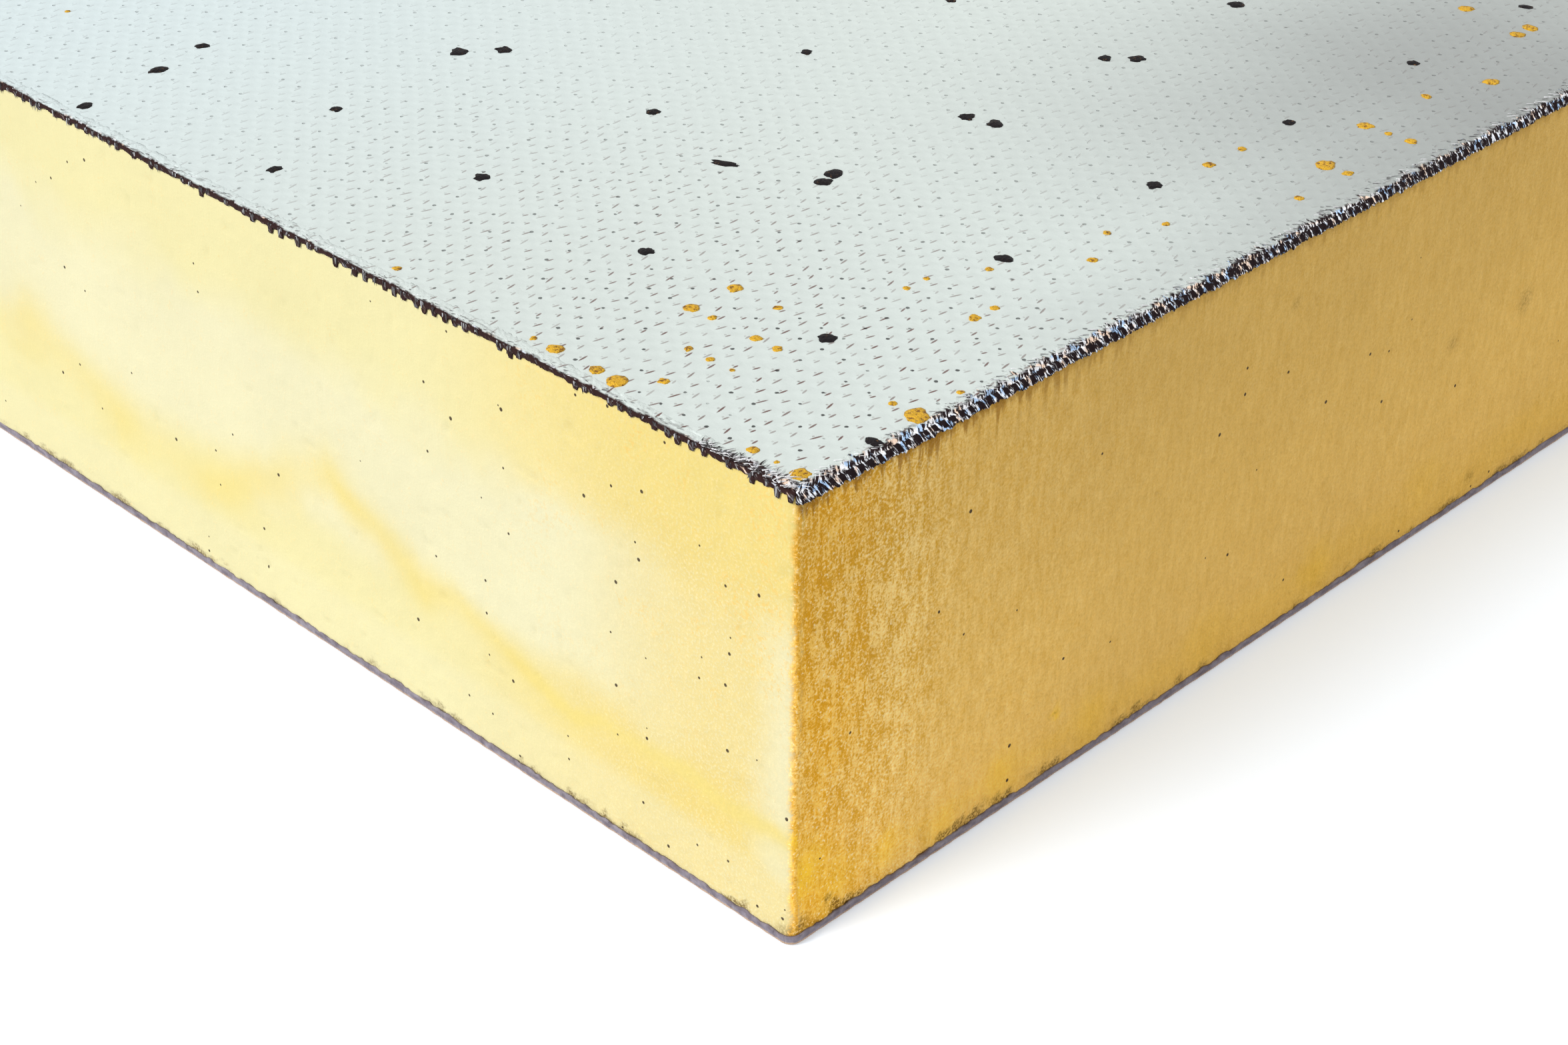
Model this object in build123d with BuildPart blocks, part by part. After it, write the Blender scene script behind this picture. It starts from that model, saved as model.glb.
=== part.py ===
from build123d import *
import os

# Foam insulation board: a foam core between two foil and glass facers. mm, +Z up,
# board's foot on Z = 0 and its centre on X = Y = 0.

# Board as sold
board_length = 1200.0       # along X
board_width = 600.0         # along Y
board_thickness = 50.0      # over both facers

# Facers
facer_sheet = 0.6           # thickness of each laminate
lip_depth = 1.3             # the sawn edge is pressed over the foam down to here, from the face
lip_sheet = 0.4             # thickness of that pressed edge
rim_round = 0.35            # outer radius where the sheet turns into the pressed edge

# Corners
corner_radius = 1.2         # plan radius of the four upright edges
knock_radius = 1.6          # plan radius of the knocked corner at the foot
knock_height = 7.0          # height above the foot where the knock has died out

# Values that follow
core_foot = facer_sheet
core_top = board_thickness - facer_sheet
lip_foot = board_thickness - lip_depth
knock_corner = (-board_length / 2, -board_width / 2)


def outline(inset, knocked):
    """Plan of the board, inset all round; the knocked corner takes the larger radius."""
    half_x = board_length / 2 - inset
    half_y = board_width / 2 - inset
    plain = corner_radius - inset
    first = (knock_radius if knocked else corner_radius) - inset
    with BuildSketch() as plan:
        with BuildLine():
            Line((-half_x + first, -half_y), (half_x - plain, -half_y))
            RadiusArc((half_x - plain, -half_y), (half_x, -half_y + plain), -plain)
            Line((half_x, -half_y + plain), (half_x, half_y - plain))
            RadiusArc((half_x, half_y - plain), (half_x - plain, half_y), -plain)
            Line((half_x - plain, half_y), (-half_x + plain, half_y))
            RadiusArc((-half_x + plain, half_y), (-half_x, half_y - plain), -plain)
            Line((-half_x, half_y - plain), (-half_x, -half_y + first))
            RadiusArc((-half_x, -half_y + first), (-half_x + first, -half_y), -first)
        make_face()
    return plan.sketch


def corner_waste(radius):
    """Plan of what a rounding of this radius takes off the square corner."""
    with BuildSketch() as waste:
        with Locations(knock_corner):
            Rectangle(radius, radius, align=(Align.MIN, Align.MIN))
        with Locations((knock_corner[0] + radius, knock_corner[1] + radius)):
            Circle(radius, mode=Mode.SUBTRACT)
    return waste.sketch


plan_top = outline(0.0, False)
plan_foot = outline(0.0, True)
plan_top_inner = outline(lip_sheet, False)
plan_foot_inner = outline(lip_sheet, True)

# Foam core, rebated round both faces for the pressed edges of the facers
with BuildPart() as foam_core:
    with BuildSketch(Plane.XY.offset(core_foot)):
        add(plan_foot_inner)
    extrude(amount=lip_depth - core_foot)
    with BuildSketch(Plane.XY.offset(lip_depth)):
        add(plan_top)
    extrude(amount=lip_foot - lip_depth)
    with BuildSketch(Plane.XY.offset(lip_foot)):
        add(plan_top_inner)
    extrude(amount=core_top - lip_foot)
    # The knock at the foot of one corner, widest at the facer and dying out above it
    with BuildSketch(Plane.XY.offset(lip_depth)):
        add(corner_waste(knock_radius))
    with BuildSketch(Plane.XY.offset(knock_height)):
        add(corner_waste(corner_radius))
    loft(ruled=True, mode=Mode.SUBTRACT)

# Top facer: a flat sheet with its sawn edge pressed down over the foam
with BuildPart() as top_facer:
    with BuildSketch(Plane.XY.offset(lip_foot)):
        add(plan_top)
    extrude(amount=lip_depth)
    with BuildSketch(Plane.XY.offset(lip_foot)):
        add(plan_top_inner)
    extrude(amount=core_top - lip_foot, mode=Mode.SUBTRACT)
    fillet(top_facer.faces().sort_by(Axis.Z)[-1].edges(), rim_round)

# Bottom facer: the same laminate, its sawn edge pressed up over the foam
with BuildPart() as bottom_facer:
    with BuildSketch():
        add(plan_foot)
    extrude(amount=lip_depth)
    with BuildSketch(Plane.XY.offset(core_foot)):
        add(plan_foot_inner)
    extrude(amount=lip_depth - core_foot, mode=Mode.SUBTRACT)
    fillet(bottom_facer.faces().sort_by(Axis.Z)[0].edges(), rim_round)

foam_core.part.label = "foam_core"
top_facer.part.label = "top_facer"
bottom_facer.part.label = "bottom_facer"

os.makedirs("parts", exist_ok=True)
export_step(foam_core.part, "parts/foam_core.step")
export_step(top_facer.part, "parts/top_facer.step")
export_step(bottom_facer.part, "parts/bottom_facer.step")
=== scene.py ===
"""Visual model of a rigid foam insulation board with a coated foil and glass facer on each face."""
import math

import bpy
import numpy as np
from bpy.props import FloatProperty, FloatVectorProperty, PointerProperty
from mathutils import Matrix, Vector


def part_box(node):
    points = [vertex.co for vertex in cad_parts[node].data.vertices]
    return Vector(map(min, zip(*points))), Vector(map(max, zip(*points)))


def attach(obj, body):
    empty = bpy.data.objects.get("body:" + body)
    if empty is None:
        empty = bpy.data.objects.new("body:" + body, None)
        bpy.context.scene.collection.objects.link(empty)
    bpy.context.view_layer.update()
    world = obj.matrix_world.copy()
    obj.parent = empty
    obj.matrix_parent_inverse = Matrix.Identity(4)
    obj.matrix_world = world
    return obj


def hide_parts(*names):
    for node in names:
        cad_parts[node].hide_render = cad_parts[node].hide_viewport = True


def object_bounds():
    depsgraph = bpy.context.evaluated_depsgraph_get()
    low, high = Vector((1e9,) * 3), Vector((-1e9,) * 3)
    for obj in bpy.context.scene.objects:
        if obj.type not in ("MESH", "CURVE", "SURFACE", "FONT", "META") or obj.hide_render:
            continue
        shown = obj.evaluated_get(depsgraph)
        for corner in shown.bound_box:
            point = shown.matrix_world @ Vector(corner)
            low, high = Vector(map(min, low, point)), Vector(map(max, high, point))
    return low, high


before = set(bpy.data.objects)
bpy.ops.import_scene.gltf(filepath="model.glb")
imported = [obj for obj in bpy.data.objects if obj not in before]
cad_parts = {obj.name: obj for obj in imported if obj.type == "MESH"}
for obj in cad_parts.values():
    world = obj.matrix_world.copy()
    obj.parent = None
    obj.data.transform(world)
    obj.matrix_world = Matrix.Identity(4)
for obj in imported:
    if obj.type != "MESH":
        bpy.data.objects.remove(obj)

bl_info = {
    "name": "Foam insulation board",
    "version": (1, 0, 0),
    "blender": (4, 5, 0),
    "location": "3D View > Sidebar > Board",
    "description": "Dresses the foam insulation board: foam, facers, sawn rims, beads and specks",
    "category": "Object",
}

MM = 0.001
CAD_LOW, CAD_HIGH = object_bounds()
FOAM_LOW, FOAM_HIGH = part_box("foam_core")

# Millimetres from here on. u runs along X and v along Y from the photographed corner.
HALF_X = CAD_HIGH[0] / MM
HALF_Y = CAD_HIGH[1] / MM
TOP = CAD_HIGH[2] / MM
LENGTH = 2 * HALF_X
WIDTH = 2 * HALF_Y

CORNER_ROUND = 1.2          # plan radius of the upright edges
KNOCK_ROUND = 1.6           # plan radius of the knocked corner at the foot
KNOCK_TOP = 7.0             # height where the knock has died out
SHEET_DEPTH = 0.30          # coated surface below the board's highest point
RIM_DEPTH = 0.22            # pressed rim below the board's highest point
RIM_START = 1.9             # the rim's strip begins this far in from the edge
WALL_INSET = 0.28           # mean inset of the sawn foam


def hashed(i, j, seed):
    """Number from 0 to 1 for each pair of whole numbers: an integer hash of i, j and the seed."""
    h = (i * 374761393 + j * 668265263 + seed * 1442695041) & 0xFFFFFFFF
    h = ((h ^ (h >> 13)) * 1274126177) & 0xFFFFFFFF
    return ((h ^ (h >> 16)) & 0xFFFFFFFF) / 4294967296.0


def smooth(x):
    """3x^2 - 2x^3 with x held between 0 and 1."""
    x = np.clip(x, 0.0, 1.0)
    return x * x * (3.0 - 2.0 * x)


def noise(x, y, seed):
    """Value noise from -1 to 1: hashed corner values of a unit grid, blended smoothly."""
    x, y = np.broadcast_arrays(np.asarray(x, float), np.asarray(y, float))
    i, j = np.floor(x).astype(np.int64), np.floor(y).astype(np.int64)
    fx, fy = smooth(x - i), smooth(y - j)
    low = hashed(i, j, seed) * (1 - fx) + hashed(i + 1, j, seed) * fx
    high = hashed(i, j + 1, seed) * (1 - fx) + hashed(i + 1, j + 1, seed) * fx
    return 2.0 * (low * (1 - fy) + high * fy) - 1.0


def layered(x, y, seed, layers=3):
    """Sum of value noises, each of twice the frequency and half the height of the one before."""
    total = 0.0
    for k in range(layers):
        total = total + noise(x * 2 ** k, y * 2 ** k, seed + 17 * k) * 0.5 ** k
    return total / (2.0 - 0.5 ** (layers - 1))


def stations(steps):
    """Positions from 0 to the last limit; each step is a limit and the spacing at that limit.

    Between two limits the spacing changes in proportion to the distance, so the k-th position
    is found by counting along the integral of one over the spacing.
    """
    where = [0.0]
    start, first = 0.0, steps[0][1]
    for limit, spacing in steps:
        run, ratio = limit - start, spacing / first
        if abs(ratio - 1.0) < 1e-9:
            count = max(1, round(run / first))
            part = start + run * np.arange(1, count + 1) / count
        else:
            count = max(1, round(run * math.log(ratio) / (spacing - first)))
            part = start + run * (ratio ** (np.arange(1, count + 1) / count) - 1) / (ratio - 1)
        where.extend(part.tolist())
        start, first = limit, spacing
    return np.array(where)


def grid_quads(rows, columns, wrap=False, base=0):
    """Corner numbers of the quads of a grid whose point (r, c) is number r * columns + c."""
    r, c = np.meshgrid(np.arange(rows - 1), np.arange(columns if wrap else columns - 1),
                       indexing="ij")
    n = (c + 1) % columns
    quads = np.stack([r * columns + c, r * columns + n, (r + 1) * columns + n,
                      (r + 1) * columns + c], axis=-1)
    return quads.reshape(-1, 4) + base


def add_piece(name, points, faces, material, marks=None, flat=False):
    """Mesh object from points in millimetres and a list of face arrays, one array for each
    number of corners. The marks become float attributes of the points."""
    mesh = bpy.data.meshes.new(name)
    points = np.asarray(points, float).reshape(-1, 3)
    corners = np.concatenate([f.ravel() for f in faces]).astype(np.int32)
    sizes = np.concatenate([np.full(len(f), f.shape[1]) for f in faces])
    starts = np.concatenate([[0], np.cumsum(sizes)[:-1]]).astype(np.int32)
    mesh.vertices.add(len(points))
    mesh.vertices.foreach_set("co", (points * MM).astype(np.float32).ravel())
    mesh.loops.add(len(corners))
    mesh.loops.foreach_set("vertex_index", corners)
    mesh.polygons.add(len(sizes))
    mesh.polygons.foreach_set("loop_start", starts)
    mesh.polygons.foreach_set("use_smooth", np.full(len(sizes), not flat))
    mesh.update(calc_edges=True)
    mesh.validate()
    for label, values in (marks or {}).items():
        mark = mesh.attributes.new(label, "FLOAT", "POINT")
        mark.data.foreach_set("value", np.asarray(values, np.float32).ravel())
    mesh.materials.append(material)
    piece = bpy.data.objects.new(name, mesh)
    bpy.context.scene.collection.objects.link(piece)
    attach(piece, "root")
    return piece


def near(a, b, centre_u, centre_v, radius):
    """1 at a centre and 0 from the radius on: smooth(1 - distance / radius)."""
    return smooth(1.0 - np.hypot(a - centre_u, b - centre_v) / radius)


def follow(x, path):
    """Height of a broken line at x; the line is a list of pairs."""
    line = np.array(path, float)
    return np.interp(x, line[:, 0], line[:, 1])


# Geometry of the foam

def both_ways(length, steps, far_spacing):
    """Stations along a side that are close together at its start and even towards its end."""
    near_part = stations(steps)
    rest = length - near_part[-1]
    count = max(1, round(rest / far_spacing))
    return np.concatenate([near_part, near_part[-1] + rest * np.arange(1, count + 1) / count])


def side_stations(margin, steps, far_front, far_left, right_count, back_count):
    """Stations of the four sides between two margins: close together by the photographed
    corner, with a far spacing for each of its two sides, and even on the hidden sides."""
    length, width = LENGTH - 2 * margin, WIDTH - 2 * margin
    front = margin + both_ways(length, steps, far_front)
    right = margin + width * np.linspace(0, 1, right_count)
    back = margin + length * np.linspace(0, 1, back_count)
    left = WIDTH - margin - both_ways(width, steps, far_left)[::-1]
    return front, right, back, left


def tucked(x):
    """The same stations with one more close to each end: a sheet's shading turns there, and
    the rims hide it."""
    return np.concatenate([x[:1], x[:1] + 0.3, x[1:-1], x[-1:] - 0.3, x[-1:]])


def ring_plan(sides, arc):
    """Columns of a closed ring round the board, counterclockwise from above.

    Each side is a straight run from corner to corner, each corner an arc of `arc` columns.
    Gives for each column the side, the distance from the side's first corner and the turn in
    the arc, from 0 to 1, or -1 on a straight run.
    """
    side, along, turn = [], [], []
    for number, run in enumerate(sides):
        side.append(np.full(len(run) + arc, number))
        along.append(np.concatenate([run, np.full(arc, run[-1])]))
        turn.append(np.concatenate([np.full(len(run), -1.0), (np.arange(arc) + 1.0) / (arc + 1)]))
    return np.concatenate(side), np.concatenate(along), np.concatenate(turn)


START = np.array([(-1, -1), (1, -1), (1, 1), (-1, 1)], float)      # first corner of each side
AHEAD = np.array([(1, 0), (0, 1), (-1, 0), (0, -1)], float)        # way along each side
OUT = np.array([(0, -1), (1, 0), (0, 1), (-1, 0)], float)          # outward normal of each side
HALF = np.array([HALF_X, HALF_Y])
# Shifts along u that give the sides noise of their own: foam, upper rims, lower rim
FOAM_SHIFT, RIM_SHIFT, FOOT_SHIFT = 977.0, 211.0, 613.0


def from_corner(side, along):
    """Distance from the side's photographed or matching corner, or back from it: the distance
    along a long side, and WIDTH less the distance along a short one."""
    return np.where(side % 2 == 0, along, WIDTH - along)


def beside(side, along, inset):
    """Plan points beside a side: its first corner + way * along - outward normal * inset."""
    return START[side] * HALF + AHEAD[side] * along[..., None] - OUT[side] * inset[..., None]


def corner_radius(height):
    """Plan radius of the photographed corner: large at the foot, easing to that of the rest."""
    return CORNER_ROUND + 0.8 * (KNOCK_ROUND - CORNER_ROUND) * (1 - smooth(height / KNOCK_TOP))


def ring_points(plan, inset, knocked):
    """Plan points of the ring at an inset from the board's planes, for one row or many.

    On a run: corner + way * s - normal * inset. In an arc: centre + (radius - inset) * (normal
    turned by 90 degrees times the turn). `knocked` is the radius of the photographed corner.
    """
    side, along, turn = plan
    lengths = np.array([LENGTH, WIDTH, LENGTH, WIDTH])
    first = np.where(side == 0, knocked, CORNER_ROUND)
    last = np.where(side == 3, knocked, CORNER_ROUND)
    reach = 4 * KNOCK_ROUND
    s = along + (first - CORNER_ROUND) * np.clip(1 - (along - CORNER_ROUND) / reach, 0, 1)
    left = lengths[side] - s
    s = s - (last - CORNER_ROUND) * np.clip(1 - (left - CORNER_ROUND) / reach, 0, 1)
    run = beside(side, s, inset)
    angle = np.clip(turn, 0, 1) * math.pi / 2
    way = OUT[side] * np.cos(angle)[:, None] + AHEAD[side] * np.sin(angle)[:, None]
    centre = START[(side + 1) % 4] * HALF - (OUT[side] + AHEAD[side]) * last[..., None]
    return np.where((turn >= 0)[:, None], centre + way * (last - inset)[..., None], run)


def ring_body(plan, inset, knocked, height):
    """Points of a whole ring, row by row, from the insets and heights of its rows."""
    where = ring_points(plan, inset, knocked)
    return np.concatenate([where, np.broadcast_to(height, inset.shape)[..., None]], axis=-1)


# Flow line in the foam of the short side, distance from the corner and depth below the top
FLOW_LINE = [(0, 38), (3, 37.5), (9, 38), (14, 37), (19, 37.5), (26, 37), (30, 38.5), (34, 37.5),
             (42, 35), (48, 33.5), (53, 34), (57, 32), (68, 27), (80, 34), (92, 37), (109, 36),
             (122, 30), (150, 34), (210, 37), (280, 31), (350, 36), (430, 33), (520, 37),
             (600, 34)]
LONG_FLOW_LINE = [(0, 45), (60, 46.5), (150, 45), (320, 47), (500, 44), (800, 46.5), (1000, 45),
                  (1200, 46)]


# Deeper yellow patches of the long side: distance, depth, radius, strength
LONG_PATCHES = [(2.0, 42.0, 5.5, 1.0), (6.5, 45.5, 5.0, 0.9), (13.0, 45.5, 4.0, 0.8),
                (21.0, 46.5, 4.0, 0.7), (30.0, 45.5, 5.0, 0.6), (44.0, 46.0, 6.0, 0.5),
                (63.0, 46.0, 7.0, 0.7), (83.0, 46.0, 7.0, 0.7), (104.0, 44.0, 7.0, 0.6),
                (38.0, 42.0, 1.3, 1.0)]
# Brown marks: side, distance, depth, radius, strength
BROWN_MARKS = [(0, 5.2, 46.9, 0.9, 1.0), (0, 1.5, 48.3, 2.2, 0.8), (0, 38.0, 42.0, 0.5, 0.5),
               (0, 73.0, 8.5, 1.2, 0.35), (0, 106.0, 25.5, 1.6, 0.4), (0, 121.0, 25.5, 2.4, 0.45),
               (0, 115.0, 46.5, 1.4, 0.4), (0, 59.0, 48.6, 1.2, 0.8), (3, 1.2, 48.6, 1.4, 0.6)]


def foam_marks(side, u, depth, short):
    """Flow band, pale heart and brown stain of the foam, each from 0 to 1.

    u is the distance from the side's own photographed or matching corner and `short` is true
    on the short sides. The band is a bell across its line, exp(-(d / w)^2); the pale heart is
    a smooth bell over the middle of the depth; patches and marks are smooth discs, and the
    stain along the foot is noise that fades with height.
    """
    wave = layered(u / 9.0, depth / 9.0, 31)
    small = layered(u / 1.1, depth / 1.1, 33)
    line = np.where(short, follow(u, FLOW_LINE), follow(u, LONG_FLOW_LINE))
    haze = smooth((u - 25) / 60.0)
    width = 0.9 + 0.5 * (layered(u / 8.0, 0.0, 41) * 0.5 + 0.5) + 2.6 * haze
    offset = depth - line + (0.45 + 2.0 * haze) * wave + 0.3 * small
    band = np.exp(-(offset / width) ** 2) + 0.30 * np.exp(-((offset - 1.5) / 3.0) ** 2)
    band = band * np.where(short, (0.85 + 0.35 * noise(u / 6.0, 0.0, 43)) * (1 - 0.45 * haze),
                           0.20)
    for cu, cz, radius, force in LONG_PATCHES:
        patch = force * near(u, depth + 1.2 * small, cu, cz, radius) * (0.75 + 0.5 * wave)
        band = np.maximum(band, (side == 0) * patch)
    pale = smooth((depth - 9 + 4 * wave) / 9.0) * smooth((38 - depth + 4 * wave) / 8.0)
    pale = pale * (0.25 + 0.75 * smooth((u - 10) / 25.0))
    arris = smooth((9.0 + 3 * wave - u) / 8.0) * smooth((depth - 10) / 8.0)
    pale = np.maximum(pale, 0.85 * short * arris * smooth((46 - depth) / 5.0))
    pale = np.maximum(pale, 0.40 * smooth((depth - 40.5) / 3.0))
    blotch = smooth((layered(u / 3.1, depth / 9.0, 45, 2) + 0.15) / 0.4)
    ragged = layered(u / 0.9, depth / 0.9, 46, 3)
    rise = np.where(short, 0.0, 0.7 * smooth((70 - u) / 50.0))
    stain = blotch * smooth((depth - 48.1 + rise - 1.2 * ragged) / 0.8) * 0.85
    for mark_side, cu, cz, radius, force in BROWN_MARKS:
        mark = force * near(u, depth + 0.5 * small, cu, cz, radius)
        stain = np.maximum(stain, (side == mark_side) * mark)
    return {"band": np.clip(band, 0, 1), "pale": np.clip(pale, 0, 1),
            "stain": np.clip(stain, 0, 1)}


def sawn_relief(u, own, depth, height, side, foam_grain):
    """How far the sawn foam lies behind its mean plane, and its full inset from the board's
    planes: waviness, grain and torn cells are value noises, and behind the pressed rims and
    at the foot the foam stands further back."""
    coarse = layered((u + own) / 9.0, depth / 9.0, 3)
    grain = layered((u + own) / 1.5, depth / 1.5, 5, 2)
    fine = noise((u + own) / 0.62, depth / 0.62, 7)
    streak = layered((u + own) / 0.9, depth / 12.0, 9, 2)
    pits = np.clip(noise((u + own) / 1.3, depth / 1.3, 11) - 0.72, 0, 1) / 0.28
    relief = 0.09 * coarse + foam_grain * (0.7 * grain + 0.45 * fine) + 0.30 * pits ** 2
    by_corner = smooth((40 - u) / 30.0)
    relief = relief + (side % 2 == 0) * (0.05 + 0.07 * by_corner) * streak
    behind = np.where(side % 2 == 0, smooth((1.85 - depth) / 0.45), smooth((1.1 - depth) / 0.7))
    inset = np.maximum(WALL_INSET + relief, 0.06) + 0.5 * behind \
        + 0.35 * smooth((0.85 - height) / 0.4)
    return relief, inset


def sawn_mark(side, u, turn, depth):
    """1 on the long sides and 0 on the short ones, with a ragged change at each corner."""
    bent = np.maximum(turn, 0)
    rough = 0.5 * layered(u / 1.2, depth / 1.2, 47, 2)
    turned = smooth(bent + 0.05 + 0.30 * rough)
    start = smooth((u - CORNER_ROUND + 1.3 + 0.7 * rough) / 2.2)
    plain = 1 - side % 2 - bent * (side % 2 == 0) + bent * (side == 1)
    return np.where(side == 3, turned, plain) * np.where(side == 0, start, 1.0)


class FoamBlock(bpy.types.Operator):
    """Sawn foam: a closed ring of columns with waviness, grain, saw streaks and torn cells"""
    bl_idname = "board.foam_block"
    bl_label = "Foam block"

    def execute(self, context):
        near_steps = [(45, 0.42), (130, 0.95), (190, 8.0)]
        plan = ring_plan(side_stations(CORNER_ROUND, near_steps, 16.0, 16.0, 61, 101), 5)
        side, along, turn = plan
        heights = 0.5 + stations([(2.0, 0.35), (49.0, 0.55)])
        heights = heights[heights < FOAM_HIGH[2] / MM]
        z = np.concatenate([[FOAM_LOW[2] / MM], heights, [FOAM_HIGH[2] / MM]])[:, None]
        depth = TOP - z
        u = from_corner(side, along)
        relief, inset = sawn_relief(u, side * FOAM_SHIFT, depth, z, side,
                                    context.scene.board_sizes.foam_grain / MM)
        points = ring_body(plan, inset, corner_radius(z), z)
        marks = foam_marks(side, u, depth, side % 2 == 1)
        marks["close"] = smooth((55 - u) / 45.0)
        marks["sawn"] = sawn_mark(side, u, turn, depth)
        marks["relief"] = np.clip(0.5 + relief, 0, 1)
        rows, columns = inset.shape
        around = np.arange(columns)[None, :]
        faces = [grid_quads(rows, columns, wrap=True), around[:, ::-1],
                 around + (rows - 1) * columns]
        piece = add_piece("foam_block", points, faces, foam_material(context),
                          {k: np.broadcast_to(v, inset.shape) for k, v in marks.items()})
        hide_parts("foam_core")
        return {"FINISHED"}


# Geometry of the pressed rims of the upper facer

WARP = 1.19                 # spacing of the warp threads along the long sides
TUFT = 1.52                 # spacing of the weft tufts along the short sides
RIM_BEND = 0.35             # radius-like measure of the turn from face to edge
RIM_SHEET = 0.14            # thickness of the torn rim


def front_rim(u, t):
    """Relief, bareness and brightness of a long side's rim; t runs from the face (below 0)
    over the turn (0) down the edge, u along it. The brightness is painted highlights and dark
    reflections of the crumpled foil.

    Slanted streaks, painted highlights and dark reflections, are noise of (u + 0.75 t)
    stretched along t. Notches are boxes with soft sides in the sheared place u - 0.65 t, one for
    each warp thread; the material blackens them, partly the foil's own dark colour and partly
    painted shade in the gaps between the ribs.
    """
    sheared = u - 0.65 * t
    across = np.abs(sheared / WARP - np.floor(sheared / WARP) - 0.5) * WARP
    notch = smooth((0.34 - across) / 0.10) * smooth(t / 0.14) * smooth((1.15 - t) / 0.2)
    slant = u + 0.75 * t
    streak = noise(slant / 0.33, t, 56) * 0.7 + noise(slant / 0.16, t / 0.7, 57) * 0.3
    fold = layered(slant / 0.8, t / 1.3, 58, 2)
    border = -0.95 + 0.35 * smooth((u - 30) / 60.0) + 0.45 * layered(u / 1.6, 0.0, 59) \
        + 0.30 * noise(u / 0.35, 0.0, 60)
    bare = smooth((t - border) / 0.22)
    slit = smooth((noise(u / 0.19, t / 1.1, 61) - 0.50) / 0.10) * smooth((t - border + 1.1) / 0.7)
    bright = np.clip(0.44 + 1.6 * streak + 1.1 * fold, 0.0, 1.0)
    edge = smooth((t + 0.08) / 0.16)
    rib = np.clip(0.50 + 0.5 * noise(sheared / 0.17, t / 1.2, 63)
                  - 0.40 * smooth((t - 0.95) / 0.35), 0.03, 1)
    bright = bright * (1 - edge) + edge * rib
    # Away from the corner the painted reflections are darker, with painted highlights on facets
    # here and there
    facet = smooth((noise(u / 1.7, t / 0.9, 62) - 0.35) / 0.25)
    bright = bright * (1 - 0.80 * smooth((u - 26) / 50.0) * (1 - facet))
    bright = bright * (1 - 0.45 * smooth((5.5 - u) / 3.0))
    relief = 0.06 * (streak + fold) + 0.12 * notch + 0.03 * slit
    return relief, np.maximum(bare, slit), np.where(slit > bare, 0.12, bright)


def tuft_cells(cells):
    """For each weft thread of a short side: how far its tuft stands off the middle of its
    place, whether there is one and how far it hangs, by hashed numbers of the thread."""
    wander = 0.3 * (hashed(cells, 0, 71) - 0.5)
    return wander, hashed(cells, 0, 72) > 0.22, 0.55 + 0.75 * hashed(cells, 0, 73)


def tufts(u):
    """Distance from the nearest tuft's middle, whether there is one and how far it hangs."""
    cell = np.floor(u / TUFT).astype(np.int64)
    wander, kept, drop = tuft_cells(cell)
    return np.abs(u / TUFT - cell - 0.5 - wander) * TUFT, kept, drop


def short_rim(u, t):
    """Relief, bareness and brightness of a short side's rim, with t and u as above.

    The dark line is smooth in t between two wavy limits. A tuft is a box with soft sides for
    each weft thread. Within 13 mm of the corner the foil shows on the face as well, striped
    by noise of (u + t) stretched along it, with bold stripes next to the corner; the stripes are
    painted highlights and dark reflections of the crumpled foil.
    """
    across, kept, drop = tufts(u)
    tuft = smooth((0.36 - across) / 0.14) * smooth((drop - t) / 0.15) * kept \
        * smooth((t - 0.05) / 0.2)
    wave = 0.18 * layered(u / 1.9, 0.0, 74) + 0.08 * noise(u / 0.4, 0.0, 75)
    corner = smooth((14.0 - u) / 8.0)
    dark = smooth((t + 0.32 + 0.25 * corner + wave) / 0.12) * smooth((0.50 + wave - t) / 0.15)
    slant = u + 1.1 * t
    streak = noise(slant / 0.30, t / 0.9, 76) * 0.7 + noise(slant / 0.15, t / 0.6, 77) * 0.3
    border = -0.42 - 1.05 * corner + 0.30 * layered(u / 1.3, 0.0, 78)
    bare = smooth((t - border) / 0.18)
    slit = smooth((noise(u / 1.3, (t + 1.0) / 0.16, 79) - 0.5) / 0.12) \
        * smooth((t + 1.6) / 0.5) * (0.4 + 0.6 * corner)
    zebra = np.clip(0.10 + 1.9 * streak, 0.0, 1.0)
    bold = np.clip(0.42 + 5.0 * noise((u + 0.9 * t) / 0.62, (t - 0.3 * u) / 1.5, 86), 0.0, 1.0)
    zebra = zebra + (bold - zebra) * smooth((13.0 - u) / 6.0)
    bright = np.where(t < -0.2, zebra, np.clip(0.02 + 0.20 * streak, 0.0, 1.0))
    gleam = smooth((noise(slant / 0.5, t / 0.5, 85) - 0.60) / 0.2) * (0.15 + 0.5 * corner)
    bright = bright * (1 - dark) + dark * gleam
    bright = np.maximum(bright, 0.16 * tuft * (0.5 + streak))
    relief = 0.05 * streak + 0.05 * layered(u / 0.9, t / 1.2, 80, 2) + 0.03 * slit
    return relief, np.maximum(bare, slit), np.where(slit > bare, 0.08, bright)


def rim_border(long_side, u):
    """How far down the edge the rim reaches at u: a ragged line of noise, longer at the warp
    ribs of a long side and at the weft tufts of a short one."""
    if long_side:
        ragged = 1.22 + 0.20 * layered(u / 1.1, 0.0, 81) + 0.16 * noise(u / 0.22, 0.0, 82)
        rib = np.abs(np.mod((u - 0.8) / WARP, 1.0) - 0.5) * 2
        return np.clip(ragged + 0.08 * (rib - 0.5) + 0.12, 1.05, 1.75)
    across, kept, drop = tufts(u)
    drop = drop * (1 - 0.3 * smooth((u - 60) / 80.0))
    tuft = smooth((0.42 - across) / 0.16) * kept * drop
    ragged = 0.50 + 0.14 * layered(u / 1.2, 0.0, 83) + 0.10 * noise(u / 0.25, 0.0, 84)
    return np.maximum(ragged, tuft)


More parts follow.
